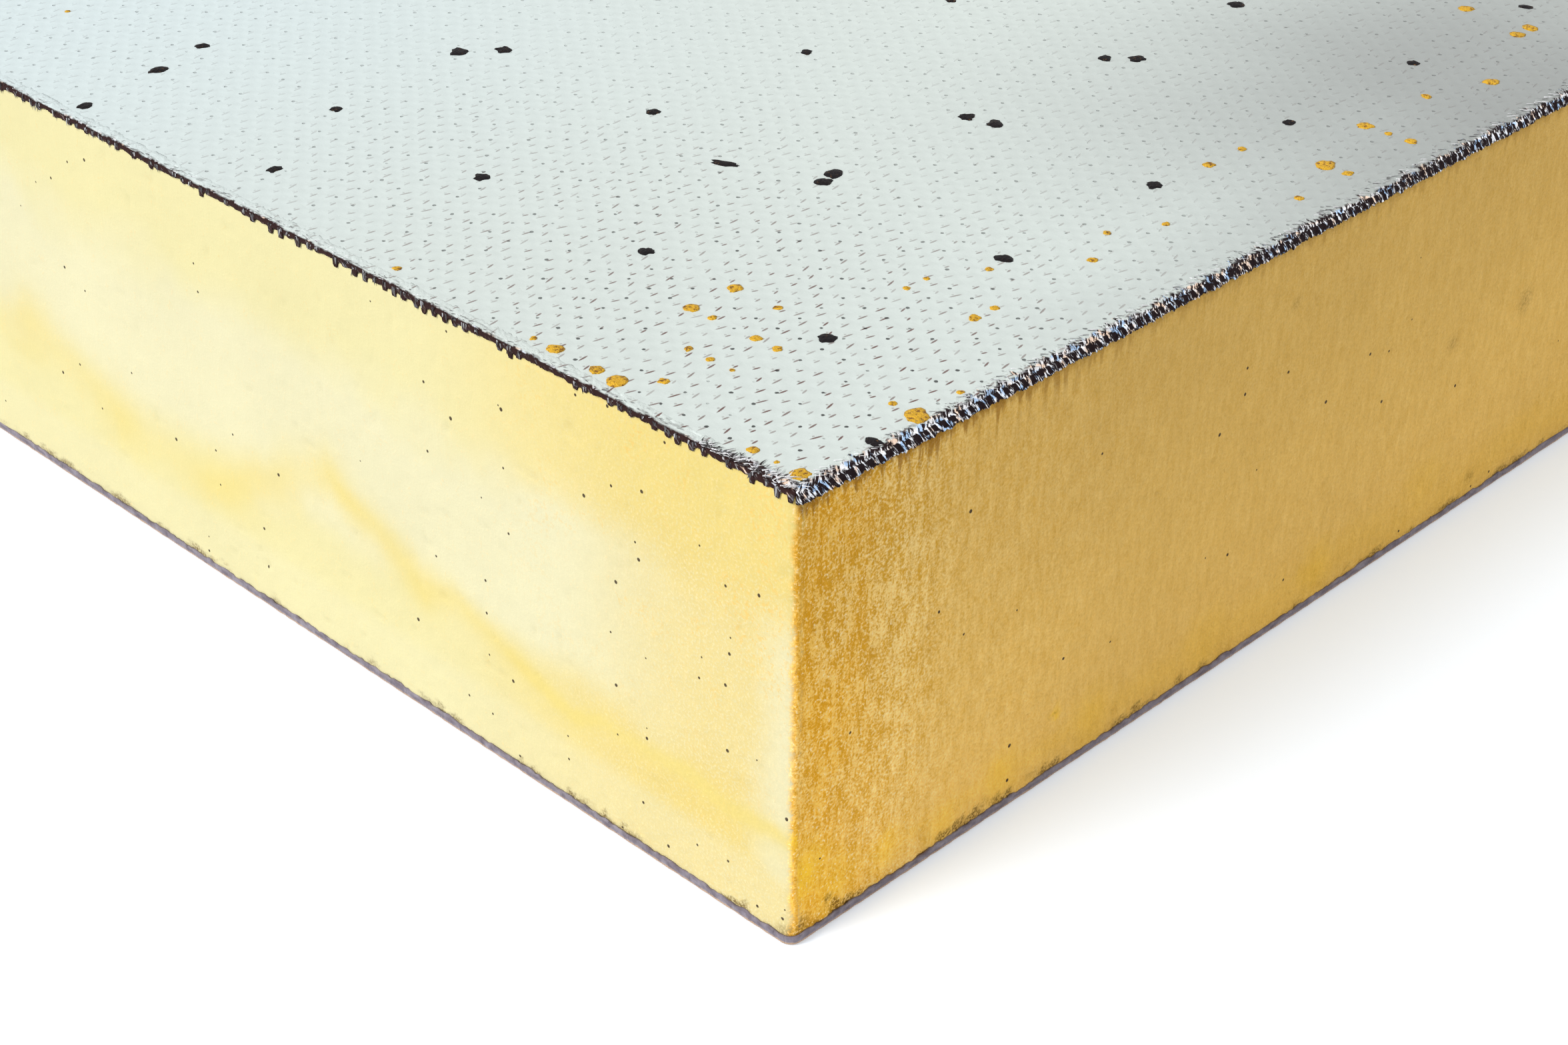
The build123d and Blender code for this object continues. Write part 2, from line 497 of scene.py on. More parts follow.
def rim_strip(side, along, rows_face, rows_edge):
    """Closed strip that turns from the face down over the edge.

    The mid-line is a hyperbola: inset (root(t^2 + e^2) - t) / 2 and depth
    (root(t^2 + e^2) + t) / 2, so it is flat on the face and upright on the edge. The relief
    pushes it in along the hyperbola's normal, and the inner side lies RIM_SHEET behind.
    """
    length = LENGTH if side % 2 == 0 else WIDTH
    u = from_corner(side, along)
    border = rim_border(side % 2 == 0, u)
    face = np.linspace(-RIM_START, 0.0, rows_face)
    edge = np.linspace(0.0, 1.0, rows_edge + 1)[1:]
    t = np.concatenate([np.repeat(face[:, None], len(u), 1), edge[:, None] * border], axis=0)
    uu = np.repeat(u[None, :], len(t), 0)
    shape = front_rim if side % 2 == 0 else short_rim
    uu = uu + RIM_SHIFT * (side in (1, 2))
    relief, bare, bright = shape(uu, t)
    slant = uu + (np.where(t < 0, 0.75, -0.65) if side % 2 == 0 else 1.1) * t
    root = np.sqrt(t * t + RIM_BEND ** 2)
    to_wall, to_face = 0.5 * (1 + t / root), 0.5 * (1 - t / root)
    relief = relief + 0.10 * smooth((-t - RIM_START + 0.45) / 0.4)
    tuck = np.zeros_like(t)
    tuck[-1] = 0.05
    back = [slice(-1, None), slice(-1 - rows_edge // 2, -rows_edge // 2),
            slice(rows_face - 1, rows_face), slice(0, 1)]
    inset = 0.5 * (root - t) + 0.06 + (relief + tuck) * to_wall
    depth = 0.5 * (root + t) + RIM_DEPTH + relief * to_face
    inner_inset = np.concatenate([(inset + RIM_SHEET * to_wall)[k] for k in back])
    inner_depth = np.concatenate([(depth + RIM_SHEET * to_face)[k] for k in back])
    inset = np.maximum(np.concatenate([inset, inner_inset]), 0.02)
    depth = np.maximum(np.concatenate([depth, inner_depth]), 0.02)
    threads = np.full_like(t, side % 2 == 0)
    marks = {label: np.concatenate([values] + [values[k] for k in back])
             for label, values in (("bare", bare), ("bright", bright), ("slant", slant),
                                   ("down", t), ("threads", threads))}
    # Corners: the plan is rounded, and the strips meet on the diagonal
    half_turn = CORNER_ROUND * (1 - math.sqrt(0.5))
    ends = []
    for gap in (along, length - along):
        bow = CORNER_ROUND - np.sqrt(np.clip(CORNER_ROUND ** 2 - np.clip(
            CORNER_ROUND - gap, 0, None) ** 2, 0, None))
        inset = inset + bow
        ends.append(np.clip(1 - (gap - half_turn) / 6.0, 0, 1) ** 2)
    reach = inset - ends[0] * half_turn - ends[1] * half_turn
    place = along + reach * ends[0] - reach * ends[1]
    points = np.concatenate([beside(side, place, inset), (TOP - depth)[..., None]], axis=-1)
    around, count = len(points), len(along)
    points = points.transpose(1, 0, 2)
    faces = [grid_quads(count, around, wrap=True),
             np.arange(around)[::-1][None, :],
             np.arange(around)[None, :] + (count - 1) * around]
    return points, faces, {k: v.T for k, v in marks.items()}


class TopRims(bpy.types.Operator):
    """Sawn rims of the upper facer: crumpled foil and glass, one closed strip for each side"""
    bl_idname = "board.top_rims"
    bl_label = "Upper rims"

    def execute(self, context):
        start = CORNER_ROUND * (1 - math.sqrt(0.5))
        fine = [(60, 0.10), (130, 0.155)]
        runs = side_stations(start, fine, WARP / 3, TUFT / 4, 1500, 3000)
        material = facer_material(context, "coated_rim", rim=True)
        rows = (("front", 11, 6), ("right", 6, 4), ("back", 6, 4), ("left", 12, 7))
        for side, (along, (name, rows_face, rows_edge)) in enumerate(zip(runs, rows)):
            points, faces, marks = rim_strip(side, along, rows_face, rows_edge)
            piece = add_piece(f"top_rim_{name}", points, faces, material, marks)
            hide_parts("top_facer")
        return {"FINISHED"}


# Geometry of the two sheets and of the lower rim

def slab(x, y, upper, lower):
    """Closed slab over a grid: the upper side is the array of heights, the lower side flat.

    Faces are the grid's quads, a skirt round its border and one flat polygon underneath.
    """
    rows, columns = len(y), len(x)
    gx, gy = np.meshgrid(x, y)
    top = np.stack([gx, gy, upper], axis=-1).reshape(-1, 3)
    number = np.arange(rows * columns).reshape(rows, columns)
    border = np.concatenate([number[0, :-1], number[:-1, -1], number[-1, :0:-1],
                             number[:0:-1, 0]])
    under = top[border].copy()
    under[:, 2] = lower
    low = len(top) + np.arange(len(border))
    skirt = np.stack([low, np.roll(low, -1), np.roll(border, -1), border], axis=-1)
    faces = [np.concatenate([grid_quads(rows, columns), skirt]), low[::-1][None, :]]
    return np.concatenate([top, under]), faces


class TopSheet(bpy.types.Operator):
    """Coated upper facer: a closed sheet that undulates a little, with wrinkles by its rims"""
    bl_idname = "board.top_sheet"
    bl_label = "Upper facer"

    def execute(self, context):
        margin = 1.25
        x = tucked(both_ways(LENGTH - 2 * margin, [(24, 0.55), (130, 1.3), (200, 8.0)], 22.0))
        y = tucked(both_ways(WIDTH - 2 * margin, [(24, 0.55), (130, 1.3), (200, 8.0)], 20.0))
        u, v = np.meshgrid(x + margin, y + margin)
        wrinkle = noise((u + 0.8 * v) / 0.9, v / 2.2, 91) * smooth((5.0 - v) / 3.5) \
            + noise(u / 1.8, (v + u) / 1.1, 92) * smooth((4.0 - u) / 3.0)
        upper = TOP - SHEET_DEPTH + 0.045 * layered(u / 17.0, v / 17.0, 93) \
            + 0.012 * layered(u / 2.3, v / 2.3, 94, 2) + 0.035 * wrinkle
        points, faces = slab(x + margin - HALF_X, y + margin - HALF_Y, upper,
                             FOAM_HIGH[2] / MM - 0.02)
        piece = add_piece("top_sheet", points, faces, facer_material(context, "coated_facer"))
        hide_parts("top_facer")
        return {"FINISHED"}


def lower_rim():
    """Points, faces and marks of the lower rim: a closed ring whose mid-line is a hyperbola
    too, flat on the ground at first and upright at the edge."""
    fine = [(60, 0.26), (130, 0.45)]
    plan = ring_plan(side_stations(CORNER_ROUND, fine, 1.3, 1.3, 420, 830), 9)
    side, along, _ = plan
    w = from_corner(side, along) + FOOT_SHIFT * side
    border = 1.10 + 0.15 * layered(w / 1.9, 0.0, 102) + 0.12 * noise(w / 0.5, 0.0, 103)
    fall = np.concatenate([np.linspace(-3.2, -0.4, 4), np.linspace(-0.2, 1.0, 8)])[:, None]
    t = fall * np.where(fall > 0, border, 1.0)
    root = np.sqrt(t * t + 0.26 ** 2)
    inset = 0.5 * (root - t) + 0.07 + 0.05 * layered(w / 0.9, t / 0.5, 104, 2)
    height = np.maximum(0.5 * (root + t) - 0.002, 0.0)
    bright = 0.50 + 0.30 * noise(w / 0.7, t / 0.35, 105) - 0.1 * (t > 0.5)
    # The inner side goes back over four of the rows
    back_rows = [11, 7, 3, 0]
    inset = np.concatenate([inset, inset[back_rows] + 0.22])
    height = np.concatenate([height, height[back_rows] + [[0.0], [0.0], [0.10], [0.10]]])
    bright = np.concatenate([bright, bright[back_rows]])
    around, columns = inset.shape
    points = ring_body(plan, inset, corner_radius(0.0), height).transpose(1, 0, 2)
    faces = grid_quads(columns + 1, around, wrap=True) % (columns * around)
    return points, [faces[:, ::-1]], {"bright": bright.T, "bare": np.ones((columns, around))}


class BottomFacer(bpy.types.Operator):
    """Lower facer: a closed sheet on the ground and its rim, which laps up over the foam"""
    bl_idname = "board.bottom_facer"
    bl_label = "Lower facer"

    def execute(self, context):
        margin = 2.2
        x = tucked(np.linspace(margin, LENGTH - margin, 121))
        y = tucked(np.linspace(margin, WIDTH - margin, 61))
        u, v = np.meshgrid(x, y)
        under = 0.03 + 0.03 * layered(u / 40.0, v / 40.0, 101)
        high = FOAM_LOW[2] / MM + 0.02
        points, faces = slab(x - HALF_X, y - HALF_Y, high - under, 0.0)
        # The slab is made face up and turned over, so that its undulating side lies below
        points[:, 2] = high - points[:, 2]
        faces = [f[:, ::-1] for f in faces]
        material = facer_material(context, "lower_facer", under=True)
        sheet = add_piece("bottom_sheet", points, faces, material)
        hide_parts("bottom_facer")
        points, faces, marks = lower_rim()
        material = facer_material(context, "lower_rim", rim=True, under=True)
        rim = add_piece("bottom_rim", points, faces, material, marks)
        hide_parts("bottom_facer")
        return {"FINISHED"}


# Small loose shapes

BLADE_POINTS = 10           # points of one sliver
SLIVER_SEED, BEAD_SEED, SPECK_SEED = 2024, 7, 11
LOOSE_INSET = 0.04          # slivers stay this far inside the board's planes


def blades(root, way, bend, wide, thick):
    """Closed tapered slivers, three-sided, of ten points each.

    The middle line is root + way q + bend q^2; its section is the triangle of + wide, - wide
    and + thick times (1 - q^2), at q = 0, 0.4 and 0.75, and it ends in a point at q = 1.
    """
    turn = np.sign(np.einsum("ij,ij->i", np.cross(thick, wide), way))
    wide = wide * np.where(turn == 0, 1, turn)[:, None]
    rings = []
    for q in (0.0, 0.4, 0.75):
        middle, size = root + way * q + bend * q * q, 1 - q * q
        rings += [middle + wide * size, middle - wide * size, middle + thick * size]
    rings.append(root + way + bend)
    points = np.stack(rings, axis=1)
    quads = np.array([(0, 1, 4, 3), (1, 2, 5, 4), (2, 0, 3, 5), (3, 4, 7, 6), (4, 5, 8, 7),
                      (5, 3, 6, 8)])
    tips = np.array([(6, 7, 9), (7, 8, 9), (8, 6, 9), (2, 1, 0)])
    shift = (np.arange(len(root)) * BLADE_POINTS)[:, None, None]
    return points.reshape(-1, 3), [(quads[None] + shift).reshape(-1, 4),
                                   (tips[None] + shift).reshape(-1, 3)]


def lumps(x, y, foot, radius, height, stretch, turn, rings, segments, rough, seed):
    """Closed low domes with an uneven outline.

    A ring at q of the radius lies at height * (1 - q^2)^0.6, and its radius and height are
    changed by hashed noise of the angle. Long lumps are stretched and turned in plan.
    """
    count = len(x)
    q = np.linspace(1.0, 0.0, rings + 1)[:-1]
    angle = np.arange(segments) / segments * 2 * math.pi
    n = np.arange(count)[:, None, None]
    wobble = 1 + rough * (2 * hashed(n, (np.arange(segments) // 2)[None, None, :], seed) - 1) \
        + 0.5 * rough * (2 * hashed(n, np.arange(segments)[None, None, :], seed + 1) - 1)
    reach = radius[:, None, None] * q[None, :, None] * wobble
    px, py = reach * np.cos(angle) * stretch[:, None, None], reach * np.sin(angle)
    c, s = np.cos(turn)[:, None, None], np.sin(turn)[:, None, None]
    bump = 1 + 0.45 * (hashed(n * 31 + np.arange(rings)[None, :, None],
                              np.arange(segments)[None, None, :], seed + 2) - 0.5)
    pz = foot + 0.06 + height[:, None, None] * ((1 - q ** 2) ** 0.6)[None, :, None] * bump
    ring = np.stack([x[:, None, None] + c * px - s * py, y[:, None, None] + s * px + c * py,
                     pz + 0 * px], axis=-1)
    low = ring[:, :1].copy()
    low[..., 2] = foot - 0.12
    peak = np.stack([x, y, foot + 0.06 + height], axis=-1)[:, None]
    body = np.concatenate([low, ring], axis=1).reshape(count, -1, 3)
    points = np.concatenate([body, peak], axis=1)
    per = points.shape[1]
    quads = grid_quads(rings + 1, segments, wrap=True)
    k = np.arange(segments)
    last = rings * segments
    tips = np.stack([last + k, last + (k + 1) % segments, np.full(segments, per - 1)], axis=-1)
    shift = (np.arange(count) * per)[:, None, None]
    faces = [(quads[None] + shift).reshape(-1, 4), (tips[None] + shift).reshape(-1, 3),
             (k[::-1][None, None] + shift).reshape(-1, segments)]
    return points.reshape(-1, 3), faces


def join(parts):
    """One point array and one face array per number of corners from several closed shapes."""
    points, faces, base = [], {}, 0
    for shape, lists in parts:
        for f in lists:
            faces.setdefault(f.shape[1], []).append(f + base)
        points.append(shape)
        base += len(shape)
    return np.concatenate(points), [np.concatenate(f) for f in faces.values()]


def on_side(side, u, inset, height):
    """Points beside a side: u from its own corner, inset from its plane, height above ground."""
    return np.column_stack([beside(side, from_corner(side, u), inset), height])


def side_way(side, along_u, inward, up):
    """Direction beside a side, from its parts along growing u, inward and up."""
    sign = 1.0 if side % 2 == 0 else -1.0
    plan = AHEAD[side] * sign * along_u[:, None] - OUT[side] * inward[:, None]
    return np.column_stack([plan, up])


class Fray:
    """Collects groups of slivers beside the sides and their brightness; all draws are seeded."""

    def __init__(self):
        self.draw = np.random.default_rng(SLIVER_SEED)
        self.shapes = []
        self.bright = []

    def even(self, n, low, high):
        """n numbers drawn evenly from low to high."""
        return self.draw.uniform(low, high, n)

    def either(self, n, share, first, second):
        """n numbers from the first pair of limits for a share of them, else from the second."""
        lot = self.draw.random(n) < share
        return np.where(lot, self.even(n, *first), self.even(n, *second))

    def add(self, side, u, inset, depth, way, bend, wide, thick, tone):
        """One group of slivers; each of its ways has three parts: along u, inward and up."""
        root = on_side(side, u, inset, TOP - depth)
        ways = (side_way(side, *np.broadcast_arrays(*parts, u)[:3])
                for parts in (way, bend, wide, thick))
        self.shapes.append(blades(root, *ways))
        self.bright.append(np.repeat(tone, BLADE_POINTS))

    def long_side(self, side, low, reach, dense):
        """Pale fibres that hang from the ribs, sheared the same way as the notches, and foil
        slivers that lie slanted on the face beside the rim."""
        even = self.even
        n = int(reach * 3.2 * dense)
        depth = even(n, 0.45, 1.25)
        u = np.round(even(n, low, reach) / WARP) * WARP + even(n, -0.17, 0.17) + 0.65 * depth
        length = even(n, 0.35, 0.85)
        self.add(side, u, even(n, 0.10, 0.20), depth, (0.60 * length, 0, -length),
                 (even(n, -.15, .15), 0, even(n, -.1, .2)), (even(n, 0.02, 0.045), 0, 0),
                 (0, -even(n, 0.02, 0.04), 0), even(n, 0.42, 0.95))
        n = int(reach * 2.6 * dense)
        u = even(n, low, reach)
        length = even(n, 0.5, 1.3)
        self.add(side, u, even(n, 0.7, 1.9), even(n, 0.16, 0.26),
                 (0.65 * length, -0.55 * length, even(n, -0.02, 0.06)),
                 (even(n, -.1, .1), 0, even(n, -.06, .02)),
                 (even(n, .02, .05), even(n, .02, .05), 0), (0, 0, even(n, 0.02, 0.05)),
                 self.either(n, 0.45, (0.0, 0.2), (0.6, 1.0)))

    def short_side(self, side, low, reach, dense, many):
        """Dark flakes that hang in tufts, `many` for each weft thread, and short pale and dark
        curls on the face beside the rim."""
        even = self.even
        cells = np.arange(int(low / TUFT), int(reach / TUFT))
        cells = cells[tuft_cells(cells)[1] & (cells * TUFT > low)]
        wander, _, drop = tuft_cells(cells)
        u = np.repeat((cells + 0.5 + wander) * TUFT, many)
        n = len(u)
        length = np.repeat(drop, many) * even(n, 0.5, 1.05)
        self.add(side, u + even(n, -0.32, 0.32), even(n, 0.08, 0.20), even(n, 0.2, 0.5),
                 (even(n, -0.1, 0.35) * length, 0, -length),
                 (even(n, -.15, .15), 0, even(n, -.1, .1)), (even(n, 0.04, 0.12), 0, 0),
                 (0, -even(n, 0.02, 0.05), 0), self.either(n, 0.3, (0.25, 0.5), (0.0, 0.12)))
        n = int((reach - low) * 2.2 * dense)
        u = even(n, low, reach)
        length = even(n, 0.35, 0.9)
        self.add(side, u, even(n, 0.15, 1.0), even(n, 0.14, 0.26),
                 (-0.7 * length, even(n, -.3, .6) * length, even(n, 0, .06)),
                 (even(n, -.15, .15), even(n, -.1, .1), even(n, -.06, .0)),
                 (even(n, .02, .04), even(n, .02, .04), 0), (0, 0, even(n, 0.02, 0.05)),
                 self.either(n, 0.6, (0.0, 0.15), (0.6, 1.0)))

    def corner(self, n):
        """Torn foil and glass in all directions at the photographed corner."""
        even = self.even
        u = even(n, 0.2, 12.0)
        far = even(n, 0.0, 1.0) * (2.2 - 0.12 * u)
        angle = even(n, 0.3, 2.2)
        length = even(n, 0.4, 1.5)
        self.add(3, u + 0.2, np.maximum(far, 0.12), even(n, 0.10, 0.24),
                 (-np.cos(angle) * length, np.sin(angle) * length * 0.7, even(n, 0, .07)),
                 (even(n, -.3, .3), even(n, -.3, .3), even(n, -.08, .0)),
                 (even(n, .02, .11), even(n, .02, .11), 0), (0, 0, even(n, 0.03, 0.06)),
                 self.either(n, 0.5, (0.0, 0.15), (0.65, 1.0)))


class Slivers(bpy.types.Operator):
    """Frayed glass and foil at the sawn rims: thin tapered slivers, hanging and curled"""
    bl_idname = "board.slivers"
    bl_label = "Frayed slivers"

    def execute(self, context):
        fray = Fray()
        fray.long_side(0, 1.5, 128, 1.0)
        fray.long_side(2, 1.5, LENGTH - 3, 0.12)
        fray.long_side(0, 128.0, LENGTH - 3, 0.12)
        fray.short_side(3, 1.0, 128, 1.0, 6)
        fray.short_side(1, 1.0, WIDTH - 3, 0.3, 2)
        fray.short_side(3, 128.0, WIDTH - 3, 0.3, 2)
        fray.corner(170)
        points, faces = join(fray.shapes)
        limit = np.array([HALF_X - LOOSE_INSET, HALF_Y - LOOSE_INSET])
        points[:, :2] = np.clip(points[:, :2], -limit, limit)
        points[:, 2] = np.clip(points[:, 2], 0.1, TOP - 0.005)
        add_piece("frayed_slivers", points, faces, sliver_material(context),
                  {"bright": np.concatenate(fray.bright)}, flat=True)
        return {"FINISHED"}


PIN_FIRST, PIN_STEP = (2.83, 2.20), (2.9155, 2.877)       # needle holes, first and spacing
# Beads of foam that came up through needle holes: hole along u, hole along v, width
NEAR_BEADS = [
    (0, 0, 1.8), (5, 0, 2.3), (7, 0, 0.7), (0, 1, 0.5), (5, 1, 0.8), (0, 2, 1.1), (11, 3, 1.4),
    (12, 3, 0.9), (3, 6, 0.5), (5, 6, 1.0), (11, 6, 0.8), (12, 6, 0.7), (1, 7, 1.1), (3, 7, 0.8),
    (5, 7, 1.2), (0, 8, 2.0), (3, 8, 0.8), (7, 8, 0.8), (0, 9, 1.4), (5, 9, 0.9), (5, 10, 1.6),
    (7, 10, 1.6), (0, 11, 1.6), (0, 12, 0.8), (0, 19, 1.0), (14, 5, 0.9), (17, 3, 1.0),
    (19, 4, 0.8), (21, 3, 0.8), (26, 5, 1.3), (26, 1, 1.0), (29, 2, 2.2), (29, 1, 1.2),
    (28, 5, 1.0), (33, 3, 1.6), (33, 1, 1.4), (33, 2, 0.9), (37, 3, 1.2), (40, 2, 1.6)]
FAR_BEADS = 420             # beads drawn for the rest of the board
SPECK_FIRST, SPECK_STEP = (22.6, 17.5), (23.9, 24.9)      # black specks, first and spacing
# Specks beside that pattern: u, v, width, stretch, turn
EXTRA_SPECKS = [(11.2, 1.6, 1.45, 1.25, 1.2), (48.9, 42.6, 1.8, 1.2, 0.4),
                (42.6, 52.2, 1.2, 3.0, 1.9), (70.7, 39.2, 1.6, 1.3, 0.9),
                (96.2, 40.1, 1.7, 1.3, 0.2), (14.8, 114.9, 1.8, 1.2, 0.0),
                (3.3, 112.0, 1.5, 1.3, 0.5), (8.1, 84.0, 1.4, 1.4, 0.3),
                (42.3, 95.6, 1.9, 1.2, 0.7), (118.2, 42.4, 1.7, 1.3, 0.4)]
NEAR_REACH = 132.0          # beads and specks nearer than this to both sides have more faces


class FoamBeads(bpy.types.Operator):
    """Beads of foam that came up through needle holes of the upper facer"""
    bl_idname = "board.foam_beads"
    bl_label = "Foam beads"

    def execute(self, context):
        draw = np.random.default_rng(BEAD_SEED)
        i, j, wide = np.array(NEAR_BEADS).T
        x = PIN_FIRST[0] + PIN_STEP[0] * i - HALF_X
        y = PIN_FIRST[1] + PIN_STEP[1] * j - HALF_Y
        foot = TOP - SHEET_DEPTH
        n = len(x)
        shapes = [lumps(x, y, foot, wide / 2, np.minimum(0.04 + 0.05 * wide, 0.13),
                        draw.uniform(0.85, 1.2, n), draw.uniform(0, 3, n), 4, 16, 0.16, 5)]
        # The rest of the board: most beads lie along its sides
        n = FAR_BEADS
        last_i, last_j = int((LENGTH - 6) / PIN_STEP[0]), int((WIDTH - 6) / PIN_STEP[1])
        i = draw.integers(0, last_i, n)
        j = np.where(draw.random(n) < 0.5, draw.integers(0, 8, n),
                     last_j - draw.integers(0, 8, n))
        ends = draw.random(n) < 0.3
        j = np.where(ends, draw.integers(0, last_j, n), j)
        i = np.where(ends, np.where(draw.random(n) < 0.5, draw.integers(0, 6, n),
                                    last_i - draw.integers(0, 6, n)), i)
        x = PIN_FIRST[0] + PIN_STEP[0] * i
        y = PIN_FIRST[1] + PIN_STEP[1] * j
        keep = (x > NEAR_REACH) | (y > NEAR_REACH)
        x, y, n = x[keep] - HALF_X, y[keep] - HALF_Y, int(keep.sum())
        wide = draw.uniform(0.6, 2.0, n)
        shapes.append(lumps(x, y, foot, wide / 2, 0.04 + 0.04 * wide, draw.uniform(0.85, 1.2, n),
                            draw.uniform(0, 3, n), 2, 8, 0.16, 6))
        points, faces = join(shapes)
        points[:, 2] = np.minimum(points[:, 2], TOP)
        add_piece("foam_beads", points, faces, bead_material(context))
        return {"FINISHED"}


class BlackSpecks(bpy.types.Operator):
    """Black specks of char on the upper facer, in an even pattern with strays between"""
    bl_idname = "board.black_specks"
    bl_label = "Black specks"

    def execute(self, context):
        draw = np.random.default_rng(SPECK_SEED)
        i, j = np.meshgrid(np.arange(50), np.arange(24))
        x = SPECK_FIRST[0] + SPECK_STEP[0] * i.ravel() + draw.uniform(-.5, .5, i.size)
        y = SPECK_FIRST[1] + SPECK_STEP[1] * j.ravel() + draw.uniform(-.5, .5, i.size)
        keep = (x < LENGTH - 3) & (y < WIDTH - 3)
        x, y, n = x[keep], y[keep], int(keep.sum())
        even = np.column_stack([x, y, draw.uniform(1.3, 1.9, n), draw.uniform(0.8, 1.25, n),
                                draw.uniform(0, 3.1, n)])
        close = (x < NEAR_REACH) & (y < NEAR_REACH)
        foot = TOP - SHEET_DEPTH - 0.01
        shapes = []
        for specks, rings, segments, seed in (
                (np.vstack([even[close], EXTRA_SPECKS]), 3, 18, 21), (even[~close], 1, 8, 22)):
            u, v, wide, stretch, turn = specks.T
            shapes.append(lumps(u - HALF_X, v - HALF_Y, foot, wide / 2, 0.10 + 0.04 * wide,
                                stretch, turn, rings, segments, 0.22, seed))
        points, faces = join(shapes)
        add_piece("black_specks", points, faces, speck_material(context), flat=True)
        return {"FINISHED"}


# Materials

class Value:
    """Output of a node in a formula: each sum, product or step adds the node that gives it."""

    def __init__(self, nodes, socket):
        self.nodes = nodes
        self.socket = socket

    def do(self, operation, other=0.0):
        """Result of a Math node on this value."""
        return self.nodes.add("ShaderNodeMath", {0: self, 1: other}, operation=operation)

    def step(self, low, high, floor=0.0, top=1.0):
        """Smooth step of the value from low to high, held between floor and top."""
        return self.nodes.add("ShaderNodeMapRange", {0: self, 1: low, 2: high, 3: floor, 4: top},
                              interpolation_type="SMOOTHSTEP")

    def __add__(self, other):
        return self.do("ADD", other)

    def __sub__(self, other):
        return self.do("SUBTRACT", other)

    def __rsub__(self, other):
        return self * -1.0 + other

    def __mul__(self, other):
        return self.do("MULTIPLY", other)

    def __truediv__(self, other):
        return self.do("DIVIDE", other)

    def __abs__(self):
        return self.do("ABSOLUTE")


class Nodes:
    """Adds nodes to one node tree; an input may be a number, a colour or a Value."""

    def __init__(self, tree):
        self.tree = tree

    def set(self, node, key, value):
        """Sets or links one input of a node; a colour gets its fourth channel."""
        socket = node.inputs[key]
        if isinstance(value, Value):
            self.tree.links.new(value.socket, socket)
        elif socket.type == "RGBA":
            socket.default_value = (*value[:3], 1.0)
        else:
            socket.default_value = value

    def node(self, kind, values=None, **options):
        """One node with its options and inputs set."""
        node = self.tree.nodes.new(kind)
        for key, value in options.items():
            setattr(node, key, value)
        for key, value in (values or {}).items():
            self.set(node, key, value)
        return node

    def add(self, kind, values=None, output=0, **options):
        """One output of a new node."""
        return Value(self, self.node(kind, values, **options).outputs[output])

    def every(self, kind, values, **options):
        """All outputs of a new node, in order."""
        return [Value(self, s) for s in self.node(kind, values, **options).outputs]

    def split(self, vector):
        """The three parts of a vector."""
        return self.every("ShaderNodeSeparateXYZ", {0: vector})

    def join(self, x, y=0.0, z=0.0):
        """Vector of three parts."""
        return self.add("ShaderNodeCombineXYZ", {0: x, 1: y, 2: z})

    def mix(self, factor, a, b, blend="MIX"):
        """Colour mix of a and b."""
        return self.add("ShaderNodeMix", {0: factor, 6: a, 7: b}, output=2, data_type="RGBA",
                        blend_type=blend)

    def tint(self, base, tone):
        """Colour times a grey tone."""
        grey = self.add("ShaderNodeCombineColor", {0: tone, 1: tone, 2: tone})
        return self.mix(1.0, base, grey, "MULTIPLY")

    def noise(self, vector, scale, detail=2.0, rough=0.5, output=0):
        """Value of a Noise Texture, or its colour where output is 1."""
        return self.add("ShaderNodeTexNoise", {"Vector": vector, "Scale": scale,
                        "Detail": detail, "Roughness": rough}, output)

    def lots(self, *cell):
        """Four random numbers from 0 to 1 for a cell of whole numbers."""
        luck, colour = self.every("ShaderNodeTexWhiteNoise", {"Vector": self.join(*cell)})
        return [luck] + self.split(colour)

    def mark(self, label):
        """Value of a point attribute."""
        return self.add("ShaderNodeAttribute", output="Fac", attribute_name=label)

    def place(self, scale=(1.0, 1.0, 1.0), shift=(0.0, 0.0, 0.0)):
        """Object coordinates in metres, scaled and shifted."""
        raw = self.add("ShaderNodeTexCoord", output="Object")
        return self.add("ShaderNodeMapping", {"Vector": raw, "Location": shift, "Scale": scale})

    def corner_place(self, spot):
        """Millimetres from the photographed corner along X and Y, and above the ground."""
        x, y, z = self.split(spot)
        return x / MM + HALF_X, y / MM + HALF_Y, z / MM

    def mottle(self, vector, patch, patch_force, grain, grain_force):
        """Tone and height of the mottle."""
        return self.every("ShaderNodeGroup", {
            "Vector": vector, "Patch": patch, "Patch Force": patch_force, "Grain": grain,
            "Grain Force": grain_force}, node_tree=mottle_group())


def group(name, inputs, outputs, build):
    """Node group made once by build(nodes, inputs) -> output values, then reused."""
    found = bpy.data.node_groups.get(name)
    if found:
        return found
    tree = bpy.data.node_groups.new(name, "ShaderNodeTree")
    tree.interface.new_socket("Vector", in_out="INPUT", socket_type="NodeSocketVector")
    for label in inputs:
        tree.interface.new_socket(label, in_out="INPUT", socket_type="NodeSocketFloat")
    for label in outputs:
        tree.interface.new_socket(label, in_out="OUTPUT", socket_type="NodeSocketFloat")
    n = Nodes(tree)
    end = tree.nodes.new("NodeGroupOutput")
    given = n.every("NodeGroupInput", {})[:len(inputs) + 1]
    for label, value in zip(outputs, build(n, *given)):
        n.set(end, label, value)
    return tree


WEAVE_STEP = (2.40, 1.565)          # spacing of the weave's dashes along u and v
WEAVE_FIRST = (2.48, 4.19)          # middle of the first dash


